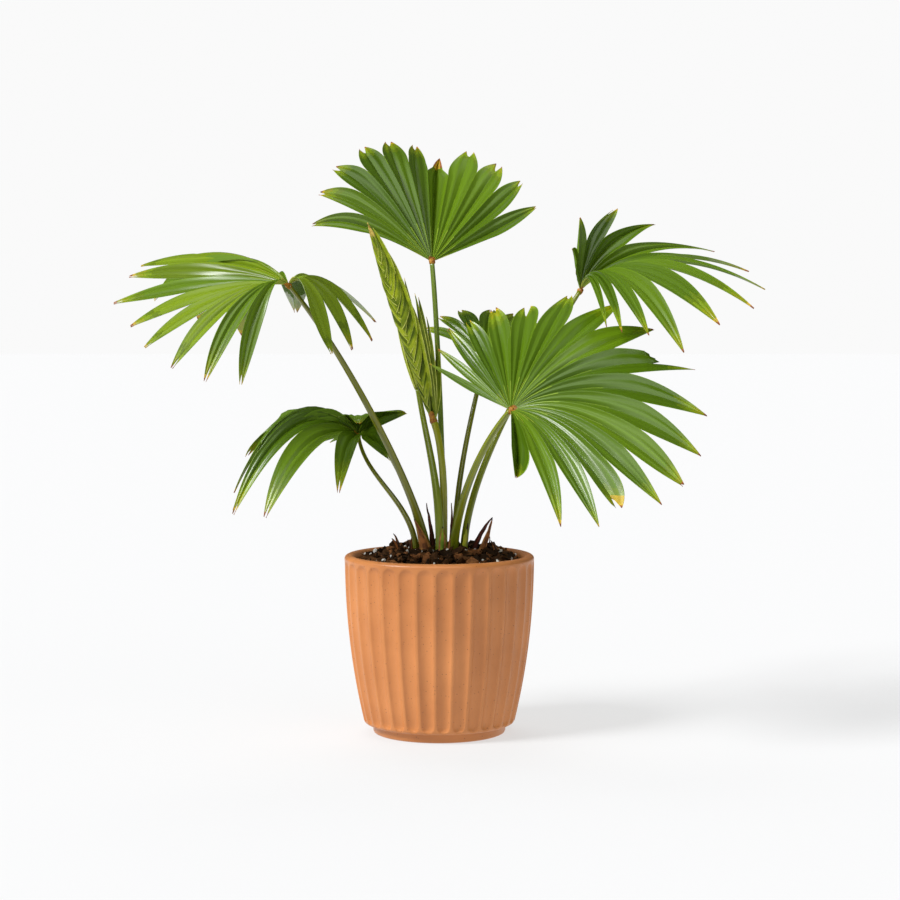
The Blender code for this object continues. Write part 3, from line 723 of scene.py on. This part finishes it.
def on_rib(points, share):
    at = min(max(share, 0.0), 1.0) * (len(points) - 1)
    step = min(int(at), len(points) - 2)
    return points[step].lerp(points[step + 1], at - step)


def joins(middles, shape):
    """How far out each pair of leaflets stays joined: until they reach their full width."""
    shares = []
    for number, (one, other) in enumerate(zip(middles, middles[1:])):
        off = abs(2 * (number + 0.5) / (len(middles) - 1) - 1)
        full = shape.widths[1] + (shape.widths[0] - shape.widths[1]) * off ** 2
        latest = shape.joined[1] + (shape.joined[0] - shape.joined[1]) * off ** 3
        steps = [step / 60 for step in range(61)]
        wide = [step for step in steps if (on_rib(one, step) - on_rib(other, step)).length > full]
        shares.append(max(min([latest] + wide), JOINED_LEAST))
    return shares[:1] + shares + shares[-1:]


def tip_share(knots, leaflet):
    """How far apart a leaflet's two points stand, read between the leaflets that are given."""
    for (low, first), (high, second) in zip(knots, knots[1:]):
        if leaflet <= high:
            return first + (second - first) * (leaflet - low) / (high - low)
    return knots[-1][1]


def across_lines():
    """Where the grid's columns run across one leaflet, from -1 at one edge to 1 at the other."""
    half = [line for line in HALF_LINES]
    return [-line for line in reversed(half)] + [0.0] + half


def make_fan(fan, hub, seed):
    """A pleated fan: a grid of columns for each leaflet, slit between leaflets and at their tips."""
    rng = Random(seed)
    lines = across_lines()
    per_leaf = len(lines) - 1
    columns = per_leaf * fan.leaflets
    rows = FUSED_ROWS + FREE_ROWS
    narrow = NARROW.get(fan.name, {})
    broken = BROKEN.get(fan.name, {})
    dried = DRIED.get(fan.name, {})
    shape = OUTLINES[fan.name]
    tips = [tip_share(shape.tips, i) for i in range(fan.leaflets)]
    notches = [1 - tip * rng.uniform(*shape.notch) if tip > LEAST_NOTCH else 2 for tip in tips]
    shares = joins([rib(fan, hub, i) for i in range(fan.leaflets)], shape)
    # Leaflet tones, lighter on the fans given above as painted light.
    tones = [rng.choice(PAINTED_LIGHT_TONES.get(fan.name, (0, 1, 1, 2))) for _ in range(fan.leaflets)]
    # Painted light: the leaflets from the given one on are painted pale.
    tones[PAINTED_LIGHT_FROM.get(fan.name, fan.leaflets):] = [PALE] * max(
        fan.leaflets - PAINTED_LIGHT_FROM.get(fan.name, fan.leaflets), 0)
    for leaflet in SHADED_LEAFLETS.get(fan.name, ()):
        tones[leaflet] = SHADED
    burns = [rng.random() for _ in range(fan.leaflets)]
    curls = [rng.gauss(0, 0.0022) for _ in range(fan.leaflets)]
    middles = [rib(fan, hub, i, fan.trims.get(i, 1.0)) for i in range(fan.leaflets)]
    edges = [rib(fan, hub, i - 0.5) for i in range(fan.leaflets + 1)]

    bm = bmesh.new()
    bmesh.ops.create_grid(bm, x_segments=columns, y_segments=rows, size=0.5)
    cells = {}
    for point in bm.verts:
        cells[point] = (round((point.co.x + 0.5) * columns), round((point.co.y + 0.5) * rows))

    slits = []
    for line in bm.edges:
        (a, low), (b, high) = (cells[point] for point in line.verts)
        if a != b:
            continue
        leaflet, offset = divmod(a, per_leaf)
        below = min(low, high)
        if offset == 0 and 0 < leaflet < fan.leaflets and below >= FUSED_ROWS:
            slits.append(line)
        if offset == per_leaf // 2 and (below - FUSED_ROWS) / FREE_ROWS >= notches[leaflet]:
            slits.append(line)
    bmesh.ops.split_edges(bm, edges=slits)

    def cell(face):
        centre = face.calc_center_median()
        return floor((centre.x + 0.5) * columns), floor((centre.y + 0.5) * rows)

    gone = []
    chart = bm.loops.layers.uv.new("leaf")
    spots = {}
    for face in bm.faces:
        column, row = cell(face)
        leaflet, offset = divmod(column, per_leaf)
        side = -1 if offset < per_leaf // 2 else 1
        free = (row + 0.5 - FUSED_ROWS) / FREE_ROWS
        inner = abs((lines[offset] + lines[offset + 1]) / 2)
        face.material_index = tones[leaflet]
        if inner < HALF_LINES[0] and row < FUSED_ROWS * 0.8:
            face.material_index = RIB if row < FUSED_ROWS * 0.5 else RIB_FADES
        if inner > HALF_LINES[-2] and row < FUSED_ROWS * 0.7:
            face.material_index = RIB_FADES if row < FUSED_ROWS * 0.5 else tones[leaflet]
        if row < HEART_ROWS:
            face.material_index = HEARTED
        margin = min(column, columns - 1 - column)
        if margin < MARGIN_LINES and row < MARGIN_ROWS:
            face.material_index = HEARTED if row < MARGIN_ROWS / 2 else RIB
        ageing = free + 0.05 * sin(offset * 0.8 + leaflet)
        if ageing > 0.72 - 0.24 * burns[leaflet]:
            face.material_index = WARM
        if ageing > 0.82 - 0.20 * burns[leaflet]:
            face.material_index = PALE
        if ageing > 0.91 - 0.16 * burns[leaflet]:
            face.material_index = TIP_FRESH
        if inner > HALF_LINES[-2] and row >= FUSED_ROWS:
            face.material_index = EDGE
        if free > 0.955 - 0.04 * burns[leaflet]:
            face.material_index = TIP_OLD
        if free > 0.975 and burns[leaflet] > 0.2:
            face.material_index = TIP_DEAD
        if narrow.get(leaflet, 1) < 0.6 and free > 0.45:
            face.material_index = TIP_DEAD if inner > 0.66 or free > 0.9 else TIP_OLD
        if leaflet in broken:
            broken_side, end = broken[leaflet]
            if side == broken_side and free > end:
                gone.append(face)
            elif side == broken_side and free > end - 0.6 / FREE_ROWS:
                face.material_index = TIP_DEAD
        if leaflet in dried and side == dried[leaflet][0] and free > dried[leaflet][1]:
            face.material_index = TIP_OLD if free < 0.95 else TIP_DEAD
        for corner in face.loops:
            across, up = cells.get(corner.vert, (None, None))
            if across is None:
                across = round((corner.vert.co.x + 0.5) * columns)
                up = round((corner.vert.co.y + 0.5) * rows)
            spots[corner.vert] = (leaflet, across - leaflet * per_leaf, up, side)
            corner[chart].uv = (across / per_leaf, up / rows)

    for point, (leaflet, offset, up, side) in spots.items():
        u = abs(lines[offset])
        edge = edges[leaflet + 1] if side > 0 else edges[leaflet]
        join = shares[leaflet + 1] if side > 0 else shares[leaflet]
        share = (shares[leaflet] + shares[leaflet + 1]) / 2 * (1 - u) + join * u
        centre = middles[leaflet]
        free = max(up - FUSED_ROWS, 0) / FREE_ROWS
        if leaflet in broken and side == broken[leaflet][0]:
            cut = FUSED_ROWS + ceil(broken[leaflet][1] * FREE_ROWS - 0.5)
            torn = (0.14 * (1 - u) + 0.02 * sin(offset * 4.1)) * min(u / 0.2, 1)
            free = min(free + torn * min(max((up - cut + 4) / 4, 0), 1) ** 1.5, 1)
        inner = min(up / FUSED_ROWS, 1) ** ROWS_INWARD
        along = share * inner + (1 - share) * free
        here = on_rib(centre, along)
        stem = min(along, share)
        span = on_rib(edges[leaflet + 1], stem) - on_rib(edges[leaflet], stem)
        half = max(span.length / 2, 0.0001)
        if 0 < offset < per_leaf and abs(offset - per_leaf // 2) == 1:
            u = min(max(RIB_WIDTH / 2 / half, 0.03), 0.15)
        if offset in (1, per_leaf - 1):
            u = 1 - min(EDGE_WIDTH / half, 0.1)
        if up <= FUSED_ROWS:
            place = here.lerp(on_rib(edge, along), u)
        else:
            out = on_rib(edge, share) - on_rib(centre, share)
            tip_width = tips[leaflet]
            swell = SWELLS[0] + SWELLS[1] * tip_width
            closing = free ** (TAPERS[0] + TAPERS[1] * tip_width)
            width = (1 + swell * free) * (1 - closing) + tip_width * closing
            width *= 1 - (1 - narrow.get(leaflet, 1)) * min(free * 3, 1)
            notch = notches[leaflet]
            gap = 0.0
            if free > notch:
                end = tip_width * narrow.get(leaflet, 1)
                gap = end * ((free - notch) / (1 - notch)) ** 0.8 * 0.97
            place = here + out * (gap + (width - gap) * u)
        ahead = on_rib(centre, along + 0.02) - on_rib(centre, along - 0.02)
        normal = span.cross(ahead)
        normal = normal.normalized() if normal.length > 1e-12 else fan_axes(fan)[2]
        half = min(half, 0.010)
        pleat = PLEAT_HUB + (PLEAT_JOIN - PLEAT_HUB) * min(up / FUSED_ROWS, 1) ** 0.6
        pleat += (PLEAT_TIP - PLEAT_JOIN) * free
        fold = -pleat * half * (1 - u)
        panel = abs((u * PANELS + 1) % 2 - 1)
        fold += FOLD * min(half / 0.008, 1) * panel * (1 - 0.8 * free ** 2)
        curl = curls[leaflet] * free ** 2
        point.co = place + normal * fold + span.normalized() * curl

    bmesh.ops.delete(bm, geom=gone, context="FACES")
    bmesh.ops.remove_doubles(bm, verts=bm.verts, dist=0.00004)
    blade = add_piece(f"blade_{fan.name}", bm, LEAF_MATERIALS, "leaf", f"frond_{fan.name}")
    wall = blade.modifiers.new("thickness", "SOLIDIFY")
    wall.thickness = LEAF_THICKNESS
    wall.offset = 0.0
    wall.use_even_offset = False
    wall.material_offset = len(LEAF_MATERIALS) // 2
    return blade


def closed_shape(name, bm, finishes, slot, *nodes, thickness=0.0005):
    piece = add_piece(name, bm, finishes, slot, *nodes)
    wall = piece.modifiers.new("thickness", "SOLIDIFY")
    wall.thickness = thickness
    wall.offset = 0.0
    wall.use_even_offset = False
    return piece


def strip(bm, line, side, half_width, cup, rows, columns=6, paint=None):
    """A blade along a line of points, half_width(share) wide to each side, folded in its middle."""
    made = bmesh.ops.create_grid(bm, x_segments=columns, y_segments=rows, size=0.5)["verts"]
    spots = {point: (point.co.x * 2, point.co.y + 0.5) for point in made}
    for face in {face for point in made for face in point.link_faces}:
        centre = face.calc_center_median()
        face.smooth = True
        if paint:
            face.material_index = paint(centre.x * 2, centre.y + 0.5)
    for point, (u, share) in spots.items():
        ahead = (on_rib(line, share + 0.03) - on_rib(line, share - 0.03)).normalized()
        across = (side - ahead * side.dot(ahead)).normalized()
        half = half_width(share)
        point.co = on_rib(line, share) + (across * u + ahead.cross(across) * cup * abs(u)) * half


def curve_points(points, steps=16):
    return [bezier([Vector(point) for point in points], step / steps) for step in range(steps + 1)]


def make_heart(fan, stalk):
    """The small orange knob where a stalk opens into its fan, with a point on the blade."""
    line = stalk_line(stalk)
    back = (line[2] - line[3]).normalized()
    ahead, side, upper = fan_axes(fan)
    start = line[3] + back * HEART_BACK
    hub = Vector(stalk.hub)
    end = hub + (ahead + upper * 0.1) * HEART_POINT

    def place(share, turn):
        here = start.lerp(hub, share * 2) if share < 0.5 else hub.lerp(end, share * 2 - 1)
        radius = stalk.neck_radius * (1.04 + 0.35 * sin(min(share * 2, 1) * pi / 2))
        if share > 0.5:
            radius *= sqrt(max(1 - (share * 2 - 1) ** 2, 0)) * (1 - 0.35 * (share * 2 - 1)) + 0.04
        bumps = 1 + 0.14 * noise.noise(Vector((cos(turn) * 2, sin(turn) * 2, share * 5)))
        across = side if share > 0.25 else back.cross(upper).normalized()
        flat = 1 - 0.3 * share
        return here + (across * cos(turn) + upper * sin(turn) * flat) * radius * bumps

    bm = limb_mesh(18, 16, place, lambda share, turn: 0)
    return add_piece(f"heart_{fan.name}", bm, [HEART], "leaf")


def spear_axes():
    root, tip = Vector(SPEAR_ROOT), Vector(SPEAR_TIP)
    along = (tip - root).normalized()
    across = Vector((0, 1, 0)).cross(along).normalized()
    return root, tip, along, across, along.cross(across)


def spear_width(share):
    if share < SPEAR_FULLEST:
        return SPEAR_HALF_WIDTH * (share / SPEAR_FULLEST) ** 0.6 * 0.80 + SPEAR_HALF_WIDTH * 0.20
    return SPEAR_HALF_WIDTH * (1 - ((share - SPEAR_FULLEST) / (1 - SPEAR_FULLEST)) ** 1.9)


def on_spear(share, turn, lift):
    """A point on the closed leaf: turn 0 is its right side, a quarter turn back is its front."""
    root, tip, _, across, through = spear_axes()
    width = spear_width(min(share, 1.0))
    centre = root.lerp(tip, share) + across * SPEAR_LEAN * sin(pi * share)
    return (centre + across * cos(turn) * (width + lift)
            + through * sin(turn) * (width * SPEAR_DEPTH + lift))


def fold_paint(over, low, tone):
    """The finish across one folded leaflet of the closed leaf: painted highlight at its edge, body,
    painted shade towards its covered end.
    """
    if over < 0.125:
        return 4 if low > 0.84 else 2
    if over < 0.38:
        return tone
    # Painted shade: a deeper green band, then the shade finish where the next fold covers it.
    return 1 if over < 0.5 else 5


def make_spear():
    """The closed leaf: a core with four rows of folded leaflets that lie over it like a plait."""
    rng = Random(3)
    # The core is painted dark: painted shade, seen in the slits between the folds; its tip is dry.
    core = limb_mesh(28, 60, lambda share, turn: on_spear(share, turn, -0.0007),
                     lambda share, turn: 4 if share > SPEAR_TIP_FROM else 3)
    add_piece("spear_core", core, SPEAR_FINISHES, "spear", "spear")
    bm = bmesh.new()
    for front in (SPEAR_SEAM, SPEAR_SEAM + pi):
        start = SPEAR_FIRST_FOLD
        while start < SPEAR_LAST_FOLD:
            start += SPEAR_FOLD_STEPS[0] + (SPEAR_FOLD_STEPS[1] - SPEAR_FOLD_STEPS[0]) * max(start, 0)
            for way in (-1, 1):
                low = start + rng.gauss(0, 0.006)
                tone = rng.choice((0, 0, 1))
                reach = SPEAR_SPANS[way < 0] * rng.uniform(0.80, 1.08)
                rise = SPEAR_RISES[way < 0] * rng.uniform(0.75, 1.35) * (1 + 0.5 * max(low, 0))
                lifted = SPEAR_LIFT * rng.uniform(0.6, 1.7)
                made = bmesh.ops.create_grid(bm, x_segments=9, y_segments=8, size=0.5)["verts"]
                spots = {point: (point.co.x + 0.5, point.co.y + 0.5) for point in made}
                for face in {face for point in made for face in point.link_faces}:
                    middle = face.calc_center_median()
                    up = low + rise * (middle.x + 0.5) + SPEAR_FOLD_LENGTH * (middle.y + 0.5)
                    face.material_index = fold_paint(middle.y + 0.5, low, tone)
                    if up > SPEAR_TIP_FROM:
                        face.material_index = 4
                for point, (out, over) in spots.items():
                    over = 0.07 * over * 8 if over < 0.13 else over
                    share = low + rise * out ** 1.25 + SPEAR_FOLD_LENGTH * over
                    turn = front + way * (reach * out - 0.16 * (1 - over))
                    fold = sin(over * pi) * 0.0007 * sin(out * pi)
                    lift = lifted * (1 - over) * (1 - 0.4 * out) + fold - 0.0003 * over
                    lift *= min(spear_width(min(max(share, 0), 1)) / SPEAR_HALF_WIDTH * 1.2, 1)
                    point.co = on_spear(min(max(share, 0.002), 0.985), turn, lift)
    closed_shape("spear_folds", bm, SPEAR_FINISHES, "spear")


def make_spear_pleats():
    """Long folded leaflets at the closed leaf's right side, with free thin tips."""
    _, _, along, across, through = spear_axes()
    neck = Vector(SPEAR_NECK)
    bm = bmesh.new()
    for number, tip in enumerate(PLEAT_TIPS):
        end = Vector(tip)
        length = (end - neck).length
        start = neck + across * 0.0001 * number + through * (0.0004 * number - 0.001)
        middle = start + along * length * 0.35 + across * (0.0025 + 0.0010 * number)
        before = end - (along * 0.8 + Vector((0, 0, 0.35))) * length * 0.25
        line = curve_points((start, middle, before, end), 24)
        turn = 0.15 + 0.35 * (number % 2)
        side = across * cos(turn) - through * sin(turn)

        def half_width(share):
            full = PLEAT_HALF_WIDTH * (1 + 0.15 * (number % 3))
            if share < 0.3:
                return full * (0.18 + 0.82 * sin(share / 0.3 * pi / 2))
            return full * (1 - ((share - 0.3) / 0.7) ** 1.5) + 0.0001

        # Edges in the painted highlight, one half of each pleat in the deeper green and the other
        # painted in shade.
        def paint(u, share):
            if share > 0.97:
                return 4
            return 2 if abs(u) > 0.88 else (1 if u > 0 else 5)

        strip(bm, line, side, half_width, 0.6, 34, columns=12, paint=paint)
    for number in range(SIDE_PLEATS):
        low = 0.10 + 0.62 * number / (SIDE_PLEATS - 1)
        high = min(low + 0.30 - 0.06 * low, 0.97)
        turn = radians(-38 + 12 * (number % 3))
        line = []
        for step in range(25):
            share = low + (high - low) * step / 24
            line.append(on_spear(share, turn + radians(26) * (step / 24) ** 2,
                                 0.0005 + 0.0016 * (step / 24) ** 3))
        # Edges in the painted highlight, one half of each side pleat painted in shade.
        strip(bm, line, across * 0.8 - through * 0.6,
              lambda share: SIDE_PLEAT_WIDTH * sin(pi * (0.1 + 0.9 * share)) ** 0.8 + 0.0001, 0.8, 24,
              columns=12, paint=lambda u, share: 2 if abs(u) > 0.88 else (0 if u > 0 else 5))
    closed_shape("spear_pleated_side", bm, SPEAR_FINISHES, "spear", "spear_pleats")


def make_neck():
    """The brown collar between the closed leaf and its stalk."""
    line = stalk_line(stalks["spear"])
    low = bezier(line, 0.97)
    root, _, along, across, through = spear_axes()
    high = root + along * 0.007

    def place(share, turn):
        radius = 0.0042 - 0.0016 * share + 0.0002 * sin(share * 9)
        return low.lerp(high, share) + (across * cos(turn) + through * sin(turn)) * radius

    bm = limb_mesh(18, 10, place, lambda share, turn: 0)
    add_piece("heart_spear", bm, [HEART], "stalk")


def make_young_spear():
    """A smaller closed leaf: folded leaflets side by side round its axis."""
    root, tip = Vector(YOUNG_ROOT), Vector(YOUNG_TIP)
    along = (tip - root).normalized()
    across = Vector((0, 1, 0)).cross(along).normalized()
    through = along.cross(across)
    bm = bmesh.new()
    for number in range(YOUNG_LEAFLETS):
        turn = 2 * pi * number / YOUNG_LEAFLETS
        out = across * cos(turn) + through * sin(turn)
        end = tip - along * 0.004 * (number % 3) + out * 0.0006
        line = curve_points((root + out * 0.0012, root + along * 0.03 + out * 0.0045,
                             tip - along * 0.03 + out * 0.003, end))
        side = across * -sin(turn) + through * cos(turn)
        # Edges in the painted highlight finish, tips dry.
        strip(bm, line, side, lambda share: 0.0026 * sin(pi * (0.15 + 0.85 * share)) ** 0.7 + 0.0001,
              -0.5, 20, paint=lambda u, share: 4 if share > 0.95 else (2 if abs(u) > 0.6 else 0))
    closed_shape("spear_small", bm, SPEAR_FINISHES, "spear", "spear_young")


def make_husks():
    """Dry sheaths, bracts and small shoots at the foot, each one a pointed strip."""
    groups = {}
    for one in HUSKS:
        bm = groups.setdefault(one.piece, bmesh.new())
        foot, tip = Vector(one.foot), Vector(one.tip)
        rise = tip - foot
        line = curve_points((foot, foot + rise * 0.35 + Vector(one.bow),
                             foot + rise * 0.7 + Vector(one.bow), tip))
        side = Vector((cos(radians(one.turn)), sin(radians(one.turn)), 0))

        def half_width(share):
            return one.half_width * (1 - share ** one.taper) + 0.00025

        def paint(u, share):
            if share > 0.93:
                return 3
            return one.edge if abs(u) > 0.62 else one.finish

        strip(bm, line, side, half_width, one.cup, 18, columns=8, paint=paint)
    for name, bm in groups.items():
        for point in bm.verts:
            point.co += Vector([noise.noise(point.co * 160 + Vector((step * 9, 0, 0)))
                                for step in range(3)]) * 0.0007
        nodes = [name.replace("sheath", "husk")] if name.startswith("sheath_") else []
        closed_shape(name, bm, HUSK_FINISHES, "husk", *nodes, thickness=0.0006)


def make_teeth():
    """Small brown teeth along the lower margins of the stalks."""
    rng = Random(8)
    bm = bmesh.new()
    for stalk in STALKS:
        line = stalk_line(stalk)
        lean = Vector((stalk.hub[0], stalk.hub[1], 0.02))
        for number in range(TEETH):
            share = 0.06 + 0.40 * (number + rng.uniform(-0.3, 0.3)) / TEETH
            ahead = (bezier(line, share + 0.01) - bezier(line, share - 0.01)).normalized()
            across = ahead.cross(lean).normalized() * (-1) ** number
            upper = ahead.cross(across).normalized()
            radius = stalk.foot_radius + (stalk.neck_radius - stalk.foot_radius) * share
            out = (across + ahead * 0.5).normalized()
            place = bezier(line, share) + across * (radius * 0.93)
            frame_here = Matrix((upper, out.cross(upper), out)).transposed().to_4x4()
            bmesh.ops.create_cone(bm, cap_ends=True, segments=5, radius1=0.0005, radius2=0.0001,
                                  depth=rng.uniform(0.0009, 0.0017),
                                  matrix=Matrix.Translation(place) @ frame_here)
    return add_piece("stalk_teeth", bm, [HUSK], "husk")


def add_floor():
    bm = bmesh.new()
    bmesh.ops.create_grid(bm, x_segments=1, y_segments=1, size=20)
    mesh = bpy.data.meshes.new("floor")
    bm.to_mesh(mesh)
    bm.free()
    paper = bpy.data.materials.new("paper")
    paper.use_nodes = True
    shader = paper.node_tree.nodes["Principled BSDF"]
    shader.inputs["Base Color"].default_value = (0.270, 0.272, 0.276, 1)
    shader.inputs["Specular IOR Level"].default_value = 0.0
    shader.inputs["Roughness"].default_value = 0.6
    shader.inputs["Emission Color"].default_value = (1, 1, 1, 1)
    shader.inputs["Emission Strength"].default_value = 0.61
    mesh.materials.append(paper)
    floor_sheet = bpy.data.objects.new("floor", mesh)
    bpy.context.scene.collection.objects.link(floor_sheet)


def add_light(name, kind, place, aim, strength, **settings):
    lamp = bpy.data.lights.new(name, kind)
    lamp.energy = strength
    for setting, value in settings.items():
        setattr(lamp, setting, value)
    holder = bpy.data.objects.new(name, lamp)
    holder.location = place
    holder.rotation_euler = (Vector(place) - Vector(aim)).to_track_quat("Z", "Y").to_euler()
    bpy.context.scene.collection.objects.link(holder)
    return holder


def add_surroundings():
    world = bpy.data.worlds.new("studio")
    bpy.context.scene.world = world
    world.use_nodes = True
    nodes, links = world.node_tree.nodes, world.node_tree.links
    sky = nodes["Background"]
    sky.inputs["Color"].default_value = (1, 1, 1, 1)
    seen = nodes.new("ShaderNodeLightPath")
    where = nodes.new("ShaderNodeTexCoord")
    facing = nodes.new("ShaderNodeVectorMath")
    facing.operation = "DOT_PRODUCT"
    facing.inputs[1].default_value = SOFTBOX_WAY
    above = nodes.new("ShaderNodeMapRange")
    above.interpolation_type = "SMOOTHSTEP"
    above.inputs["From Min"].default_value = SOFTBOX_FROM
    above.inputs["From Max"].default_value = SOFTBOX_TO
    above.inputs["To Min"].default_value = ROOM_SHEEN
    above.inputs["To Max"].default_value = SOFTBOX_SHEEN
    mirrored = nodes.new("ShaderNodeMix")
    mirrored.inputs["A"].default_value = ROOM_LIGHT
    level = nodes.new("ShaderNodeMix")
    level.inputs["B"].default_value = BACKDROP
    links.new(where.outputs["Generated"], facing.inputs[0])
    links.new(facing.outputs["Value"], above.inputs["Value"])
    links.new(seen.outputs["Is Glossy Ray"], mirrored.inputs["Factor"])
    links.new(above.outputs["Result"], mirrored.inputs["B"])
    links.new(seen.outputs["Is Camera Ray"], level.inputs["Factor"])
    links.new(mirrored.outputs["Result"], level.inputs["A"])
    links.new(level.outputs["Result"], sky.inputs["Strength"])
    bpy.context.scene.view_settings.view_transform = "Standard"
    add_light("key", "SUN", (-2.4, -1.3, 2.7), (0, 0, 0.3), 3.5, angle=radians(20))
    overhead = add_light("overhead", "SUN", (-0.3, 1.1, 1.9), (0, 0, 0.4), 0.9, angle=radians(38))
    fill = add_light("fill", "SUN", (1.8, -2.0, 1.7), (0, 0, 0.3), 0.4, angle=radians(50))
    overhead.visible_glossy = False
    fill.visible_glossy = False


def add_camera():
    lens = bpy.data.cameras.new("camera")
    lens.lens = 88
    lens.sensor_width = 36
    camera = bpy.data.objects.new("camera", lens)
    camera.location = (0.0113, -2.311, 0.4455)
    camera.rotation_euler = (radians(90 - 3.64), 0, 0)
    bpy.context.scene.collection.objects.link(camera)
    bpy.context.scene.camera = camera


add_camera()
add_floor()
add_surroundings()
make_pot()
make_soil()
scatter("bark_chips", CHIPS, 11, (0.0015, 0.0046), list(SOILS), "soil", 0.3, 0.006, 0.35)
scatter("bark_lumps", LUMPS, 17, (0.0040, 0.0092), list(SOILS), "soil", 0.32, 0.007, 0.36)
scatter("white_grit", PERLITE, 5, (0.0012, 0.0024), [WHITE_GRIT], "soil", 0.7, 0.009, 0.2)
for one in STALKS:
    make_stalk(one)
hubs = {one.name: Vector(one.hub) for one in STALKS}
stalks = {one.name: one for one in STALKS}
for number, one in enumerate(FANS):
    make_fan(one, hubs[one.name], 20 + number)
    make_heart(one, stalks[one.name])
make_spear()
make_spear_pleats()
make_neck()
make_young_spear()
make_husks()
make_teeth()
